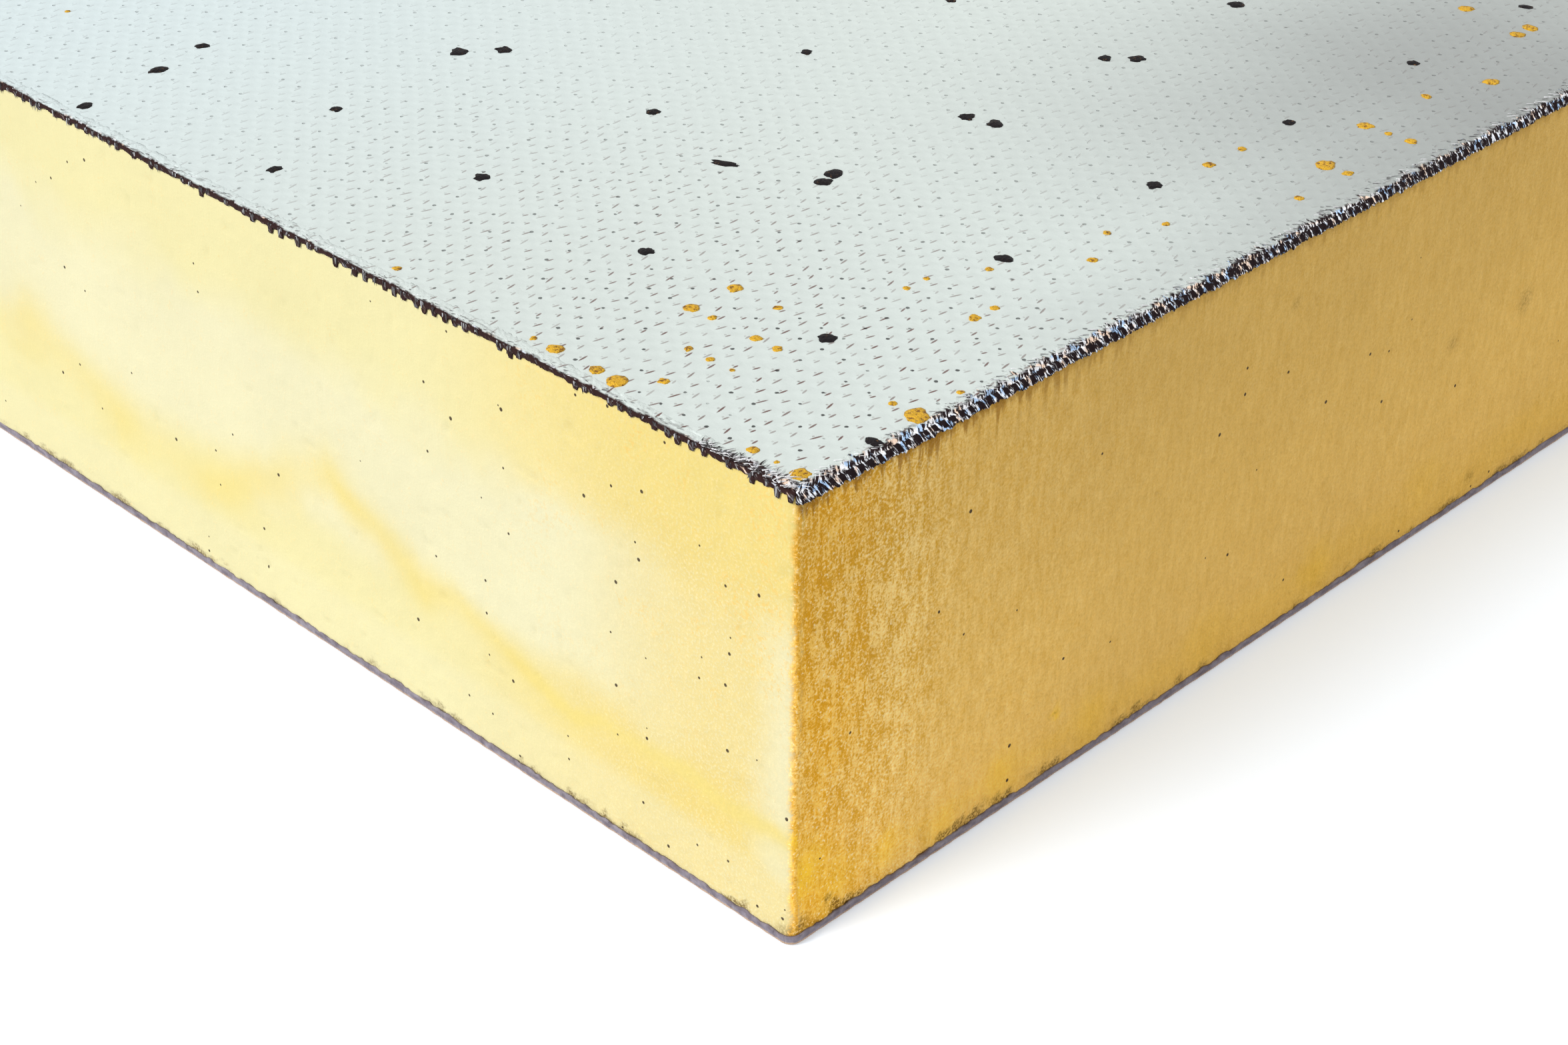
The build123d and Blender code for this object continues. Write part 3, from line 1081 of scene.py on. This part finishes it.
def weave_group():
    """Woven coating: dashes where the glass shows between threads, needle holes and relief."""
    def build(n, vector):
        """Distances from the middle of a weave cell and of a needle hole's cell, as masks."""
        x, y, _ = n.split(vector)
        bend_u, bend_v, _ = n.split(n.noise(vector, 130.0, output=1))
        u = bend_u * 0.40 + (x / MM + (HALF_X - 0.20))
        v = bend_v * 0.40 + (y / MM + (HALF_Y - 0.20))
        # Plain weave: each dash lies in its own cell, and every second row is shifted
        across, down = WEAVE_STEP
        row_place = v / down + (0.5 - WEAVE_FIRST[1] / down)
        row = row_place.do("FLOOR")
        column_place = u / across + (0.5 - WEAVE_FIRST[0] / across)
        column_place = column_place - row.do("FLOORED_MODULO", 2.0) * 0.52
        luck, lot_u, lot_v, lot_tilt = n.lots(column_place.do("FLOOR"), row)
        dx = column_place.do("FRACT") * across - across / 2 + (lot_u - 0.5) * 0.55
        dy = row_place.do("FRACT") * down - down / 2 + (lot_v - 0.5) * 0.35
        part_u = dx / (luck * 0.35 + 0.30)
        part_v = (dx * ((lot_tilt - 0.5) * 0.6) + dy) / 0.11
        dash = (part_u * part_u + part_v * part_v).step(1.5, 0.40)
        dot_u, dot_v = dx / 0.15, (dy - 0.34) / 0.13
        dot = (dot_u * dot_u + dot_v * dot_v).step(1.3, 0.3) * 0.45
        dash = dash.do("MAXIMUM", dot) * lot_v.step(0.0, 0.9, 0.42)
        # Needle holes on a square pattern
        step_u, step_v = PIN_STEP
        hole_u = u / step_u + (0.5 - PIN_FIRST[0] / step_u)
        hole_v = v / step_v + (0.5 - PIN_FIRST[1] / step_v)
        chance = n.lots(hole_u.do("FLOOR"), hole_v.do("FLOOR"), 5.0)[0]
        gap_u = hole_u.do("FRACT") * step_u - step_u / 2
        gap_v = hole_v.do("FRACT") * step_v - step_v / 2
        gap = (gap_u * gap_u + gap_v * gap_v).do("SQRT")
        gap = gap + (n.noise(vector, 3000.0) - 0.5) * 0.22
        hole = (gap - (chance * 0.09 + 0.09)).step(0.07, -0.03) * chance.step(0.15, 0.45)
        ridge = (dx * (2 * math.pi / across)).do("COSINE") * (dy * (math.pi / down)).do("COSINE")
        return dash, hole, ridge * 0.45 - dash * 1.3 - hole * 4.0
    return group("woven coating", (), ("Dash", "Hole", "Height"), build)


def mottle_group():
    """Mottle: large soft patches and fine grain, as a tone round 1 and a height."""
    def build(n, vector, patch, patch_force, grain, grain_force):
        """Soft noise and fine noise, each less its mean and times its force, plus 1."""
        fine = n.noise(vector, grain, 3.0, 0.65)
        soft = n.noise(vector, patch, 3.0)
        return (soft - 0.5) * patch_force + (fine - 0.5) * grain_force + 1.0, fine
    return group("mottle", ("Patch", "Patch Force", "Grain", "Grain Force"),
                 ("Tone", "Height"), build)


def shade_and_wear_group():
    """Painted shade and wear of a facer round the photographed corner: a mask of painted shade
    on the upper face from about 50 to 270 mm along the front side, with a fainter darker strip
    along the front rim, a mask of a cooler patch of the coating, and how plainly the dashes and
    needle holes show."""
    def build(n, vector):
        """Smooth steps along u and v, the painted shade uneven by noise."""
        u, v, _ = n.corner_place(vector)
        long = n.add("ShaderNodeMapping", {"Vector": vector, "Scale": (1.0, 0.5, 1.0)})
        cloud = n.noise(long, 22.0, 3.0).step(0.30, 0.62)
        past = u.step(270.0, 120.0)
        # Painted shade: the upper face darkens from about 50 mm to 270 mm along the front side
        front = u.step(45.0, 118.0) * v.step(66.0, 15.0) * past * (cloud * 0.25 + 0.75) * 0.72
        # A fainter darker strip along the front rim over the same reach
        beside = v.step(13.0, 2.0) * past * (cloud * 0.12 + 0.10) * u.step(20.0, 50.0)
        painted_shade = 1.0 - (1.0 - front) * (1.0 - beside)
        cool = v.step(40.0, 150.0) * u.step(110.0, 30.0) * v.step(320.0, 220.0)
        return painted_shade, cool, u.step(70.0, 20.0, 0.22) * v.step(110.0, 15.0, 0.18)
    return group("facer shade and wear", (), ("Painted shade", "Cool", "Plain"), build)


def new_material(name):
    """Empty node material with its Principled shader: material, node helper, shader."""
    material = bpy.data.materials.new(name)
    material.use_nodes = True
    shader = material.node_tree.nodes["Principled BSDF"]
    return material, Nodes(material.node_tree), shader


def finish(n, shader, base, height, strength, distance, rough, specular):
    """Sets colour, roughness, specular level and bump of the shader."""
    bump = n.add("ShaderNodeBump", {"Height": height, "Strength": strength,
                                    "Distance": distance})
    for label, value in (("Base Color", base), ("Roughness", rough), ("Normal", bump),
                         ("Specular IOR Level", specular)):
        n.set(shader, label, value)


def short_side_foam(n, tones, spot, crumbs, height):
    """Colour of the pale short ends: heart, bands and orange flecks."""
    band, pale, close = n.mark("band"), n.mark("pale"), n.mark("close")
    base = n.mix(close, tones.foam_cream, tones.foam_yellow)
    base = n.mix(pale, base, tones.foam_pale)
    base = n.mix(crumbs.step(0.48, 0.62) * close * 0.45, base, tones.foam_pale)
    base = n.mix(band * 0.82, base, tones.foam_band)
    base = n.mix(height.step(32.0, 48.5) * close * 0.55, base, tones.foam_band)
    cloud = n.noise(spot, 130.0).step(0.46, 0.62)
    fleck = n.noise(spot, 2100.0, 3.0, 0.65).step(0.53, 0.62) * cloud * close * 0.50
    return n.mix(fleck * height.step(14.0, 40.0, 0.25), base, tones.foam_fleck)


def long_side_foam(n, tones, streaks, crumbs, coarse, u, height):
    """Colour of the ochre long sides: the grain runs between a dark and a light tone, partly the
    foam's own colour and partly painted shade in sunk cells and painted light on raised ones, and
    is strongest and most orange by the upright edge, with drips and a painted shade below the
    rim. The side is painted lighter towards the foot, as if lit from the floor."""
    band, close = n.mark("band"), n.mark("close")
    by_edge = u.step(24.0, 4.0)
    spread = close * height.step(4.0, 34.0, 0.3, 0.65) + 0.42
    spread = spread + by_edge * height.step(4.0, 34.0, 1.9, 3.7)
    grain = (streaks - 0.5) * 0.45 + (coarse - 0.5) * 0.45 + (crumbs - 0.5)
    grain = grain * spread + 0.5
    zone = n.noise(n.place(scale=(1.0, 1.0, 0.4)), 180.0, 3.0).step(0.38, 0.62)
    edge = u.step(16.0, 3.0) * (zone * 0.4 + 0.6)
    # The grain's dark and light tones are partly the foam's own colour and partly painted shade in
    # sunk cells and painted light on raised ones
    base = n.mix(grain.step(0.03, 0.97), n.mix(edge, tones.foam_ochre, tones.foam_gold),
                 n.mix(edge, tones.foam_ochre_light, tones.foam_orange))
    base = n.mix(band * grain.step(0.0, 0.8, 0.55, 1.0), base, tones.foam_deep)
    runs = n.noise(n.place(scale=(1.0, 1.0, 0.13)), 1250.0, 2.0, 0.6)
    drips = height.step(41.5, 48.5) * runs.step(0.55, 0.62)
    base = n.mix(drips * (close * 0.40 + 0.06), base, tones.foam_drip_and_shade)
    # Painted shade in a ragged band just below the rim
    under_rim_shade = ((runs - 0.5) * 6.0 + height).step(46.8, 48.4)
    base = n.mix(under_rim_shade * close.step(0.0, 1.0, 0.25, 0.75), base, tones.foam_drip_and_shade)
    base = n.mix(crumbs.step(0.58, 0.66) * by_edge * 0.45, base, tones.foam_glint)
    # Painted light: the side is lightened towards the foot, as if lit from the floor, and is a
    # little darker away from the corner
    return n.tint(base, (close * 0.12 + 0.91) * height.step(50.0, 0.0, 0.96, 1.21))


def dark_dots(n, spot, sawn, close):
    """Mask of scattered dark dots: one Voronoi cell in several has a dot, fewer of them on the
    long sides and far from the corner."""
    x, y, z = n.split(spot)
    gap, colour = n.every("ShaderNodeTexVoronoi", {"Vector": n.join(x - y, z), "Scale": 260.0},
                          voronoi_dimensions="2D")[:2]
    chance, size, _ = n.every("ShaderNodeSeparateColor", {0: colour})
    rare = sawn.step(0.0, 1.0, 0.0, 0.93).do("MAXIMUM", close.step(1.0, 0.0, 0.66, 0.88))
    dot = (gap - (size * 0.035 + 0.022)).step(0.012, -0.010)
    return dot * chance.do("GREATER_THAN", rare) * 0.95


def foam_material(context):
    """Sawn foam: pale at the short ends, ochre along the long sides, with cells, flow bands,
    drips and a painted shade below the rim, painted shade where the foam lies further back,
    stains above the foot and scattered dark dots."""
    tones = context.scene.board_colours
    material, n, shader = new_material("sawn_foam")
    spot = n.place()
    u, _, height = n.corner_place(spot)
    sawn, close = n.mark("sawn"), n.mark("close")
    streaks = n.noise(n.place(scale=(1.0, 1.0, 0.22)), 1500.0, 3.0, 0.6)
    crumbs = n.noise(spot, 3300.0, 3.0, 0.65)
    coarse = n.noise(n.place(scale=(1.0, 1.0, 0.6), shift=(0.3, 0.2, 0.1)), 1000.0, 3.0, 0.7)
    ragged = (crumbs - 0.5) * 1.3 + (coarse - 0.5) * 0.8 + sawn
    base = n.mix(ragged.step(0.10, 0.80), short_side_foam(n, tones, spot, crumbs, height),
                 long_side_foam(n, tones, streaks, crumbs, coarse, u, height))
    tone, _ = n.mottle(spot, 55.0, 0.10, 2300.0, sawn * 0.20 + (close * 0.09 + 0.03))
    tone = (streaks - 0.5) * sawn * 0.15 + tone
    # Painted shade: foam that lies further back, by the point mark 'relief', is darkened
    tone = (n.mark("relief") - 0.5) * sawn.step(0.0, 1.0, -0.15, -0.22) + tone
    base = n.tint(base, tone.do("MINIMUM", 1.16))
    base = n.mix(n.mark("stain") * crumbs.step(0.66, 0.36, 0.25, 1.0), base, tones.stain)
    base = n.mix(dark_dots(n, spot, sawn, close), base, tones.dust)
    relief = (streaks * 0.6 + coarse * 1.4 + crumbs * 0.9) * sawn.step(0.0, 1.0, 0.22, 1.0)
    finish(n, shader, base, relief, 0.7, 0.00035, 0.92, 0.2)
    return material


def torn_edge(n, bright):
    """Brightness of the bare foil, its painted highlights and dark reflections, with its fine
    slanted streaks and, on the long sides, one black notch between each two warp ribs: partly
    the foil's own dark colour and partly painted shade in the gap. The marks 'slant' and 'down'
    are in mm."""
    slant, down, threads = n.mark("slant"), n.mark("down"), n.mark("threads")
    streak = n.noise(n.join(slant * 3.5, down * 0.9), 1.0, 2.0, 0.6) - 0.5
    bright = streak * (threads * 7.5 + 0.6) + bright
    bright = bright * 1.3 + (threads * -0.14 - 0.10)
    place = slant / WARP
    _, wide, high, deep = n.lots(place.do("FLOOR"))
    across = abs(place.do("FRACT") * WARP - WARP / 2) + streak * 0.22
    notch = (wide * 0.10 + 0.30 - across).step(-0.03, 0.03)
    notch = notch * (down - (high * 0.25 + 0.02)).step(0.0, 0.10)
    notch = notch * (deep * 0.35 + 1.05 - down).step(0.0, 0.15)
    notch = notch * threads * slant.step(2.2, 3.4)
    return (bright * (1.0 - notch)).do("MAXIMUM", 0.0).do("MINIMUM", 1.0)


def upper_foil(n, tones, spot, bright):
    """Colour of the upper rim's foil from painted shade in its creases to painted highlights on
    its folds, which mirror sky or foam.
    """
    threads = n.mark("threads")
    dark = n.mix(threads, tones.foil_brown, tones.foil_dark)
    sheen = n.noise(spot, 700.0, 1.0)
    light = n.mix(sheen.step(0.53, 0.62) * threads.step(0.0, 1.0, 0.3), tones.foil_light,
                  tones.foil_blue)
    light = n.mix(sheen.step(0.45, 0.36), light, tones.foil_warm)
    return n.mix(bright, dark, light)


def facer_material(context, name, rim=False, under=False):
    """Facer: matt coating over the weave, with painted shade on the upper one. On a rim the point
    marks bare the crumpled foil and give its painted highlights and dark reflections.
    """
    tones = context.scene.board_colours
    material, n, shader = new_material(name)
    spot = n.place()
    dash, hole, weave = n.every("ShaderNodeGroup", {"Vector": spot}, node_tree=weave_group())
    painted_shade, cool, plain = n.every("ShaderNodeGroup", {"Vector": spot}, node_tree=shade_and_wear_group())
    tone, grain = n.mottle(spot, 28.0, 0.05, 1300.0, 0.07)
    base = n.tint(tones.lower_coating if under else tones.coating, tone)
    if not under:
        # Painted shade on the far part of the upper face and a darker strip along the front rim
        base = n.mix(painted_shade, base, tones.painted_shade)
        base = n.mix(cool, base, tones.coating_cool)
    base = n.mix(dash * (plain * 0.92 - 0.03), base, tones.dash)
    base = n.mix(hole * (plain * 0.64 + 0.24), base, tones.speck)
    relief = grain * 0.5 + weave
    rough = 0.62
    if rim:
        bare, bright = n.mark("bare"), n.mark("bright")
        shade, crease = n.mottle(spot, 420.0, 0.5, 2600.0, 0.7)
        if under:
            # The lower edge of the pressed rim shows the pale side of the laminate
            foil = n.tint(n.mix(bright, tones.lower_dark, tones.lower_light), shade)
            fringe = (n.corner_place(spot)[2] - crease * 0.3).step(0.34, 0.10)
            foil = n.mix(fringe, foil, tones.lower_fringe)
        else:
            # Painted highlights and dark reflections of the crumpled foil; its black notches are
            # partly painted shade
            bright = torn_edge(n, bright)
            foil = n.tint(upper_foil(n, tones, spot, bright), shade)
        base = n.mix(bare, base, foil)
        gloss = bare * bright
        rough = gloss.step(0.0, 1.0, 0.85, 0.80 if under else 0.34)
        relief = crease * 2.0 + relief
        n.set(shader, "Metallic", gloss * (0.10 if under else 0.5))
    finish(n, shader, base, relief, 0.55, 0.00010, rough, 0.15)
    return material


def sliver_material(context):
    """Torn foil and glass: from near black to bright by the point mark."""
    tones = context.scene.board_colours
    material, n, shader = new_material("torn_foil_and_glass")
    tone, relief = n.mottle(n.place(), 300.0, 0.4, 2500.0, 0.5)
    bright = n.mark("bright")
    base = n.tint(n.mix(bright, tones.foil_dark, tones.foil_light), tone)
    finish(n, shader, base, relief, 0.4, 0.0001, bright.step(0.0, 1.0, 0.85, 0.40), 0.12)
    return material


def bead_material(context):
    """Bead of cured foam: deep yellow, with brown pits."""
    tones = context.scene.board_colours
    material, n, shader = new_material("cured_bead")
    tone, relief = n.mottle(n.place(), 900.0, 0.5, 3000.0, 0.5)
    pits = n.noise(n.place(), 2300.0, 3.0, 0.6)
    base = n.tint(n.mix(pits.step(0.51, 0.64), tones.bead, tones.bead_dark), tone)
    finish(n, shader, base, relief - pits * 1.6, 0.8, 0.0003, 0.6, 0.3)
    return material


def speck_material(context):
    """Char speck: black with brown crumbs."""
    tones = context.scene.board_colours
    material, n, shader = new_material("char_speck")
    _, relief = n.mottle(n.place(), 900.0, 0.6, 3000.0, 0.6)
    base = n.mix(relief.step(0.60, 0.75), tones.speck, tones.speck_brown)
    finish(n, shader, base, relief, 0.6, 0.0002, 0.6, 0.12)
    return material


# Stage

# Camera: place measured from the photographed upper corner, in metres, and angles in degrees
CAMERA_OFFSET = (-0.13872, -0.13476, 0.11714)
CAMERA_YAW, CAMERA_PITCH, CAMERA_ROLL = 44.458, 31.821, -0.4906
CAMERA_LENS, CAMERA_SENSOR = 62.10, 36.0          # in millimetres
FLOOR_REACH, FLOOR_DROP = 4.0, 0.0001             # half the floor's side and its depth, in metres


def camera_matrix():
    """World matrix of the camera: forward from yaw and pitch, then rolled about forward."""
    yaw, pitch, roll = (math.radians(a) for a in (CAMERA_YAW, CAMERA_PITCH, CAMERA_ROLL))
    forward = Vector((math.cos(yaw) * math.cos(pitch), math.sin(yaw) * math.cos(pitch),
                      -math.sin(pitch)))
    level = Vector((math.sin(yaw), -math.cos(yaw), 0.0))
    down = forward.cross(level)
    right = level * math.cos(roll) + down * math.sin(roll)
    down = down * math.cos(roll) - level * math.sin(roll)
    turn = Matrix((right, -down, -forward)).transposed().to_4x4()
    corner = Vector((CAD_LOW[0], CAD_LOW[1], CAD_HIGH[2]))
    return Matrix.Translation(corner + Vector(CAMERA_OFFSET)) @ turn


def sun(name, way, strength, angle, tone):
    """Distant lamp that shines from a direction."""
    lamp = bpy.data.lights.new(name, "SUN")
    lamp.energy, lamp.angle, lamp.color = strength * math.pi, math.radians(angle), tone
    holder = bpy.data.objects.new(name, lamp)
    holder.rotation_euler = Vector(way).to_track_quat("Z", "Y").to_euler()
    bpy.context.scene.collection.objects.link(holder)


def seen_ray(n):
    """1 where a ray comes straight from the camera, a reflection or glass."""
    seen, mirrored, passed = (n.add("ShaderNodeLightPath", output=f"Is {kind} Ray")
                              for kind in ("Camera", "Glossy", "Transmission"))
    return seen.do("MAXIMUM", mirrored.do("MAXIMUM", passed))


class Stage(bpy.types.Operator):
    """Pale floor, soft lamps, white surroundings and the camera"""
    bl_idname = "board.stage"
    bl_label = "Stage"

    def execute(self, context):
        scene = context.scene
        light = scene.board_light
        material, n, shader = new_material("pale_floor")
        dust = n.noise(n.place(), 6.0, 4.0).step(0.2, 0.8, 0.99, 1.0)
        n.set(shader, "Base Color", n.tint((0.80, 0.857, 0.94), dust))
        shader.inputs["Roughness"].default_value = 0.9
        shader.inputs["Specular IOR Level"].default_value = 0.0
        shader.inputs["Emission Color"].default_value = (0.88, 0.95, 1.0, 1.0)
        n.set(shader, "Emission Strength", seen_ray(n) * light.floor_lift)
        mesh = bpy.data.meshes.new("floor")
        corners = [(-1, -1), (1, -1), (1, 1), (-1, 1)]
        mesh.from_pydata([(x * FLOOR_REACH, y * FLOOR_REACH, -FLOOR_DROP) for x, y in corners],
                         [], [(0, 1, 2, 3)])
        mesh.materials.append(material)
        floor = bpy.data.objects.new("floor", mesh)
        scene.collection.objects.link(floor)

        world = bpy.data.worlds.new("surroundings")
        world.use_nodes = True
        scene.world = world
        n = Nodes(world.node_tree)
        back = world.node_tree.nodes["Background"]
        back.inputs["Color"].default_value = (1.0, 1.0, 1.0, 1.0)
        n.set(back, "Strength", seen_ray(n).step(0.0, 1.0, light.sky, 1.0))

        sun("key_lamp", (-0.77, 0.21, 0.60), light.key, 24.0, (1.0, 1.0, 1.0))
        sun("fill_lamp", (0.30, -0.85, 0.35), light.fill, 70.0, (1.0, 1.0, 1.0))

        lens = bpy.data.cameras.new("camera")
        lens.lens, lens.sensor_width = CAMERA_LENS, CAMERA_SENSOR
        lens.clip_start, lens.clip_end = 0.01, 50.0
        camera = bpy.data.objects.new("camera", lens)
        camera.matrix_world = camera_matrix()
        scene.collection.objects.link(camera)
        scene.camera = camera
        scene.view_settings.view_transform = "Standard"
        return {"FINISHED"}


def tone_property(name, text, default):
    """Colour property in linear light."""
    return FloatVectorProperty(name=name, description=text, default=default, subtype="COLOR",
                               size=3, min=0.0, max=1.0)


class BoardSizes(bpy.types.PropertyGroup):
    """Sizes of the board's finish that a user would change"""
    foam_grain: FloatProperty(
        name="Foam grain", description="Height of the grain on the sawn foam",
        default=0.00008, min=0.0, max=0.0003, unit="LENGTH", precision=6)


class BoardColours(bpy.types.PropertyGroup):
    """Colours of the board's finishes, in linear light"""
    foam_yellow: tone_property("Foam yellow", "Short ends by the corners", (0.755, 0.58, 0.195))
    foam_cream: tone_property("Foam cream", "Short ends further along", (0.755, 0.68, 0.36))
    foam_pale: tone_property("Foam pale", "Pale heart of the foam", (0.755, 0.70, 0.445))
    foam_band: tone_property("Foam band", "Flow bands in the foam", (0.765, 0.615, 0.195))
    # foam_ochre, foam_gold, foam_ochre_light and foam_orange colour the long sides' grain: partly
    # the foam's own colour, partly painted shade in sunk cells and painted light on raised ones
    foam_ochre: tone_property("Foam ochre", "Foam along the long sides", (0.70, 0.36, 0.025))
    foam_gold: tone_property("Foam gold", "Sunk cells by the upright edges", (0.74, 0.34, 0.008))
    foam_ochre_light: tone_property("Foam ochre light", "Raised cells of the long sides",
                                    (0.98, 0.68, 0.235))
    foam_orange: tone_property("Foam orange", "Raised cells by the upright edge",
                               (0.95, 0.56, 0.10))
    foam_fleck: tone_property("Foam fleck", "Orange flecks of the short ends",
                              (0.83, 0.52, 0.11))
    foam_glint: tone_property("Foam glint", "Cells that catch the light", (1.0, 0.88, 0.62))
    foam_deep: tone_property("Foam deep", "Deep yellow patches", (0.95, 0.56, 0.03))
    # Also the colour of the painted shade in a band just below the rim
    foam_drip_and_shade: tone_property("Foam drip and shade", "Drips below the rim", (0.36, 0.16, 0.012))
    stain: tone_property("Stain", "Brown marks by the foot", (0.13, 0.066, 0.012))
    dust: tone_property("Dust", "Dark dots in the foam", (0.05, 0.03, 0.02))
    coating: tone_property("Coating", "Upper facer's coating", (0.71, 0.775, 0.74))
    coating_cool: tone_property("Cool coating", "Bluer patch of the coating", (0.73, 0.83, 0.84))
    dash: tone_property("Dash", "Glass seen between the threads", (0.13, 0.030, 0.022))
    # Painted shade: the colour towards which the upper face is darkened
    painted_shade: tone_property("Painted shade", "Grime on the coating", (0.30, 0.305, 0.30))
    # The rims' foil runs between a dark and a light tone by its painted highlights and dark
    # reflections: foil_dark and foil_brown are the dark ends, with painted shade in the creases,
    # and foil_light is the light end, with painted highlights on the folds; foil_brown is also the
    # short sides' dark line, and foil_dark and foil_light also colour the slivers
    foil_dark: tone_property("Foil dark", "Foil in its creases", (0.014, 0.006, 0.007))
    foil_brown: tone_property("Foil brown", "Torn foil of the short sides",
                              (0.030, 0.012, 0.011))
    foil_light: tone_property("Foil light", "Foil on its folds", (0.96, 0.96, 0.98))
    foil_blue: tone_property("Foil blue", "Foil where it mirrors the sky", (0.50, 0.70, 0.98))
    foil_warm: tone_property("Foil warm", "Foil where it mirrors the foam", (0.98, 0.74, 0.58))
    lower_coating: tone_property("Lower coating", "Lower facer's coating", (0.52, 0.54, 0.53))
    lower_dark: tone_property("Lower rim dark", "Lower rim in its creases", (0.145, 0.115, 0.14))
    lower_light: tone_property("Lower rim light", "Lower rim on its folds", (0.40, 0.37, 0.43))
    lower_fringe: tone_property("Lower fringe", "Lowest edge of the rim", (0.62, 0.42, 0.28))
    bead: tone_property("Bead", "Cured foam bead", (0.80, 0.45, 0.026))
    bead_dark: tone_property("Bead dark", "Brown spots of a bead", (0.26, 0.11, 0.012))
    speck: tone_property("Speck", "Char speck", (0.008, 0.006, 0.007))
    speck_brown: tone_property("Speck brown", "Crumbs on a speck", (0.16, 0.08, 0.03))


class BoardLight(bpy.types.PropertyGroup):
    """Strength of the stage's lamps"""
    key: FloatProperty(name="Key lamp", description="Light of the key lamp on a square surface",
                       default=0.80, min=0.0, soft_max=2.0, subtype="FACTOR")
    fill: FloatProperty(name="Fill lamp", description="Light of the fill lamp",
                        default=0.20, min=0.0, soft_max=2.0, subtype="FACTOR")
    sky: FloatProperty(name="Surroundings", description="Light of the white surroundings",
                       default=0.45, min=0.0, soft_max=2.0, subtype="FACTOR")
    floor_lift: FloatProperty(name="Floor lift", description="White added to the seen floor",
                              default=0.38, min=0.0, soft_max=1.0, subtype="FACTOR")


class BoardPanel(bpy.types.Panel):
    """Sidebar panel with the board's operators and values"""
    bl_idname = "VIEW3D_PT_board"
    bl_label = "Foam insulation board"
    bl_space_type = "VIEW_3D"
    bl_region_type = "UI"
    bl_category = "Board"

    def draw(self, context):
        for operator in OPERATORS:
            self.layout.operator(operator.bl_idname)
        for values in (context.scene.board_sizes, context.scene.board_colours,
                       context.scene.board_light):
            box = self.layout.box()
            for key in values.bl_rna.properties.keys():
                if key not in ("rna_type", "name"):
                    box.prop(values, key)


OPERATORS = (FoamBlock, TopSheet, TopRims, BottomFacer, Slivers, FoamBeads, BlackSpecks, Stage)
CLASSES = (BoardSizes, BoardColours, BoardLight) + OPERATORS + (BoardPanel,)


def register():
    """Registers the classes and hangs the values on the scene."""
    for item in CLASSES:
        bpy.utils.register_class(item)
    bpy.types.Scene.board_sizes = PointerProperty(type=BoardSizes)
    bpy.types.Scene.board_colours = PointerProperty(type=BoardColours)
    bpy.types.Scene.board_light = PointerProperty(type=BoardLight)


def unregister():
    """Takes the values off the scene and unregisters the classes."""
    del bpy.types.Scene.board_light, bpy.types.Scene.board_colours, bpy.types.Scene.board_sizes
    for item in reversed(CLASSES):
        bpy.utils.unregister_class(item)


def main():
    register()
    bpy.ops.board.foam_block()
    bpy.ops.board.top_sheet()
    bpy.ops.board.top_rims()
    bpy.ops.board.bottom_facer()
    bpy.ops.board.slivers()
    bpy.ops.board.foam_beads()
    bpy.ops.board.black_specks()
    bpy.ops.board.stage()


if __name__ == "__main__":
    main()
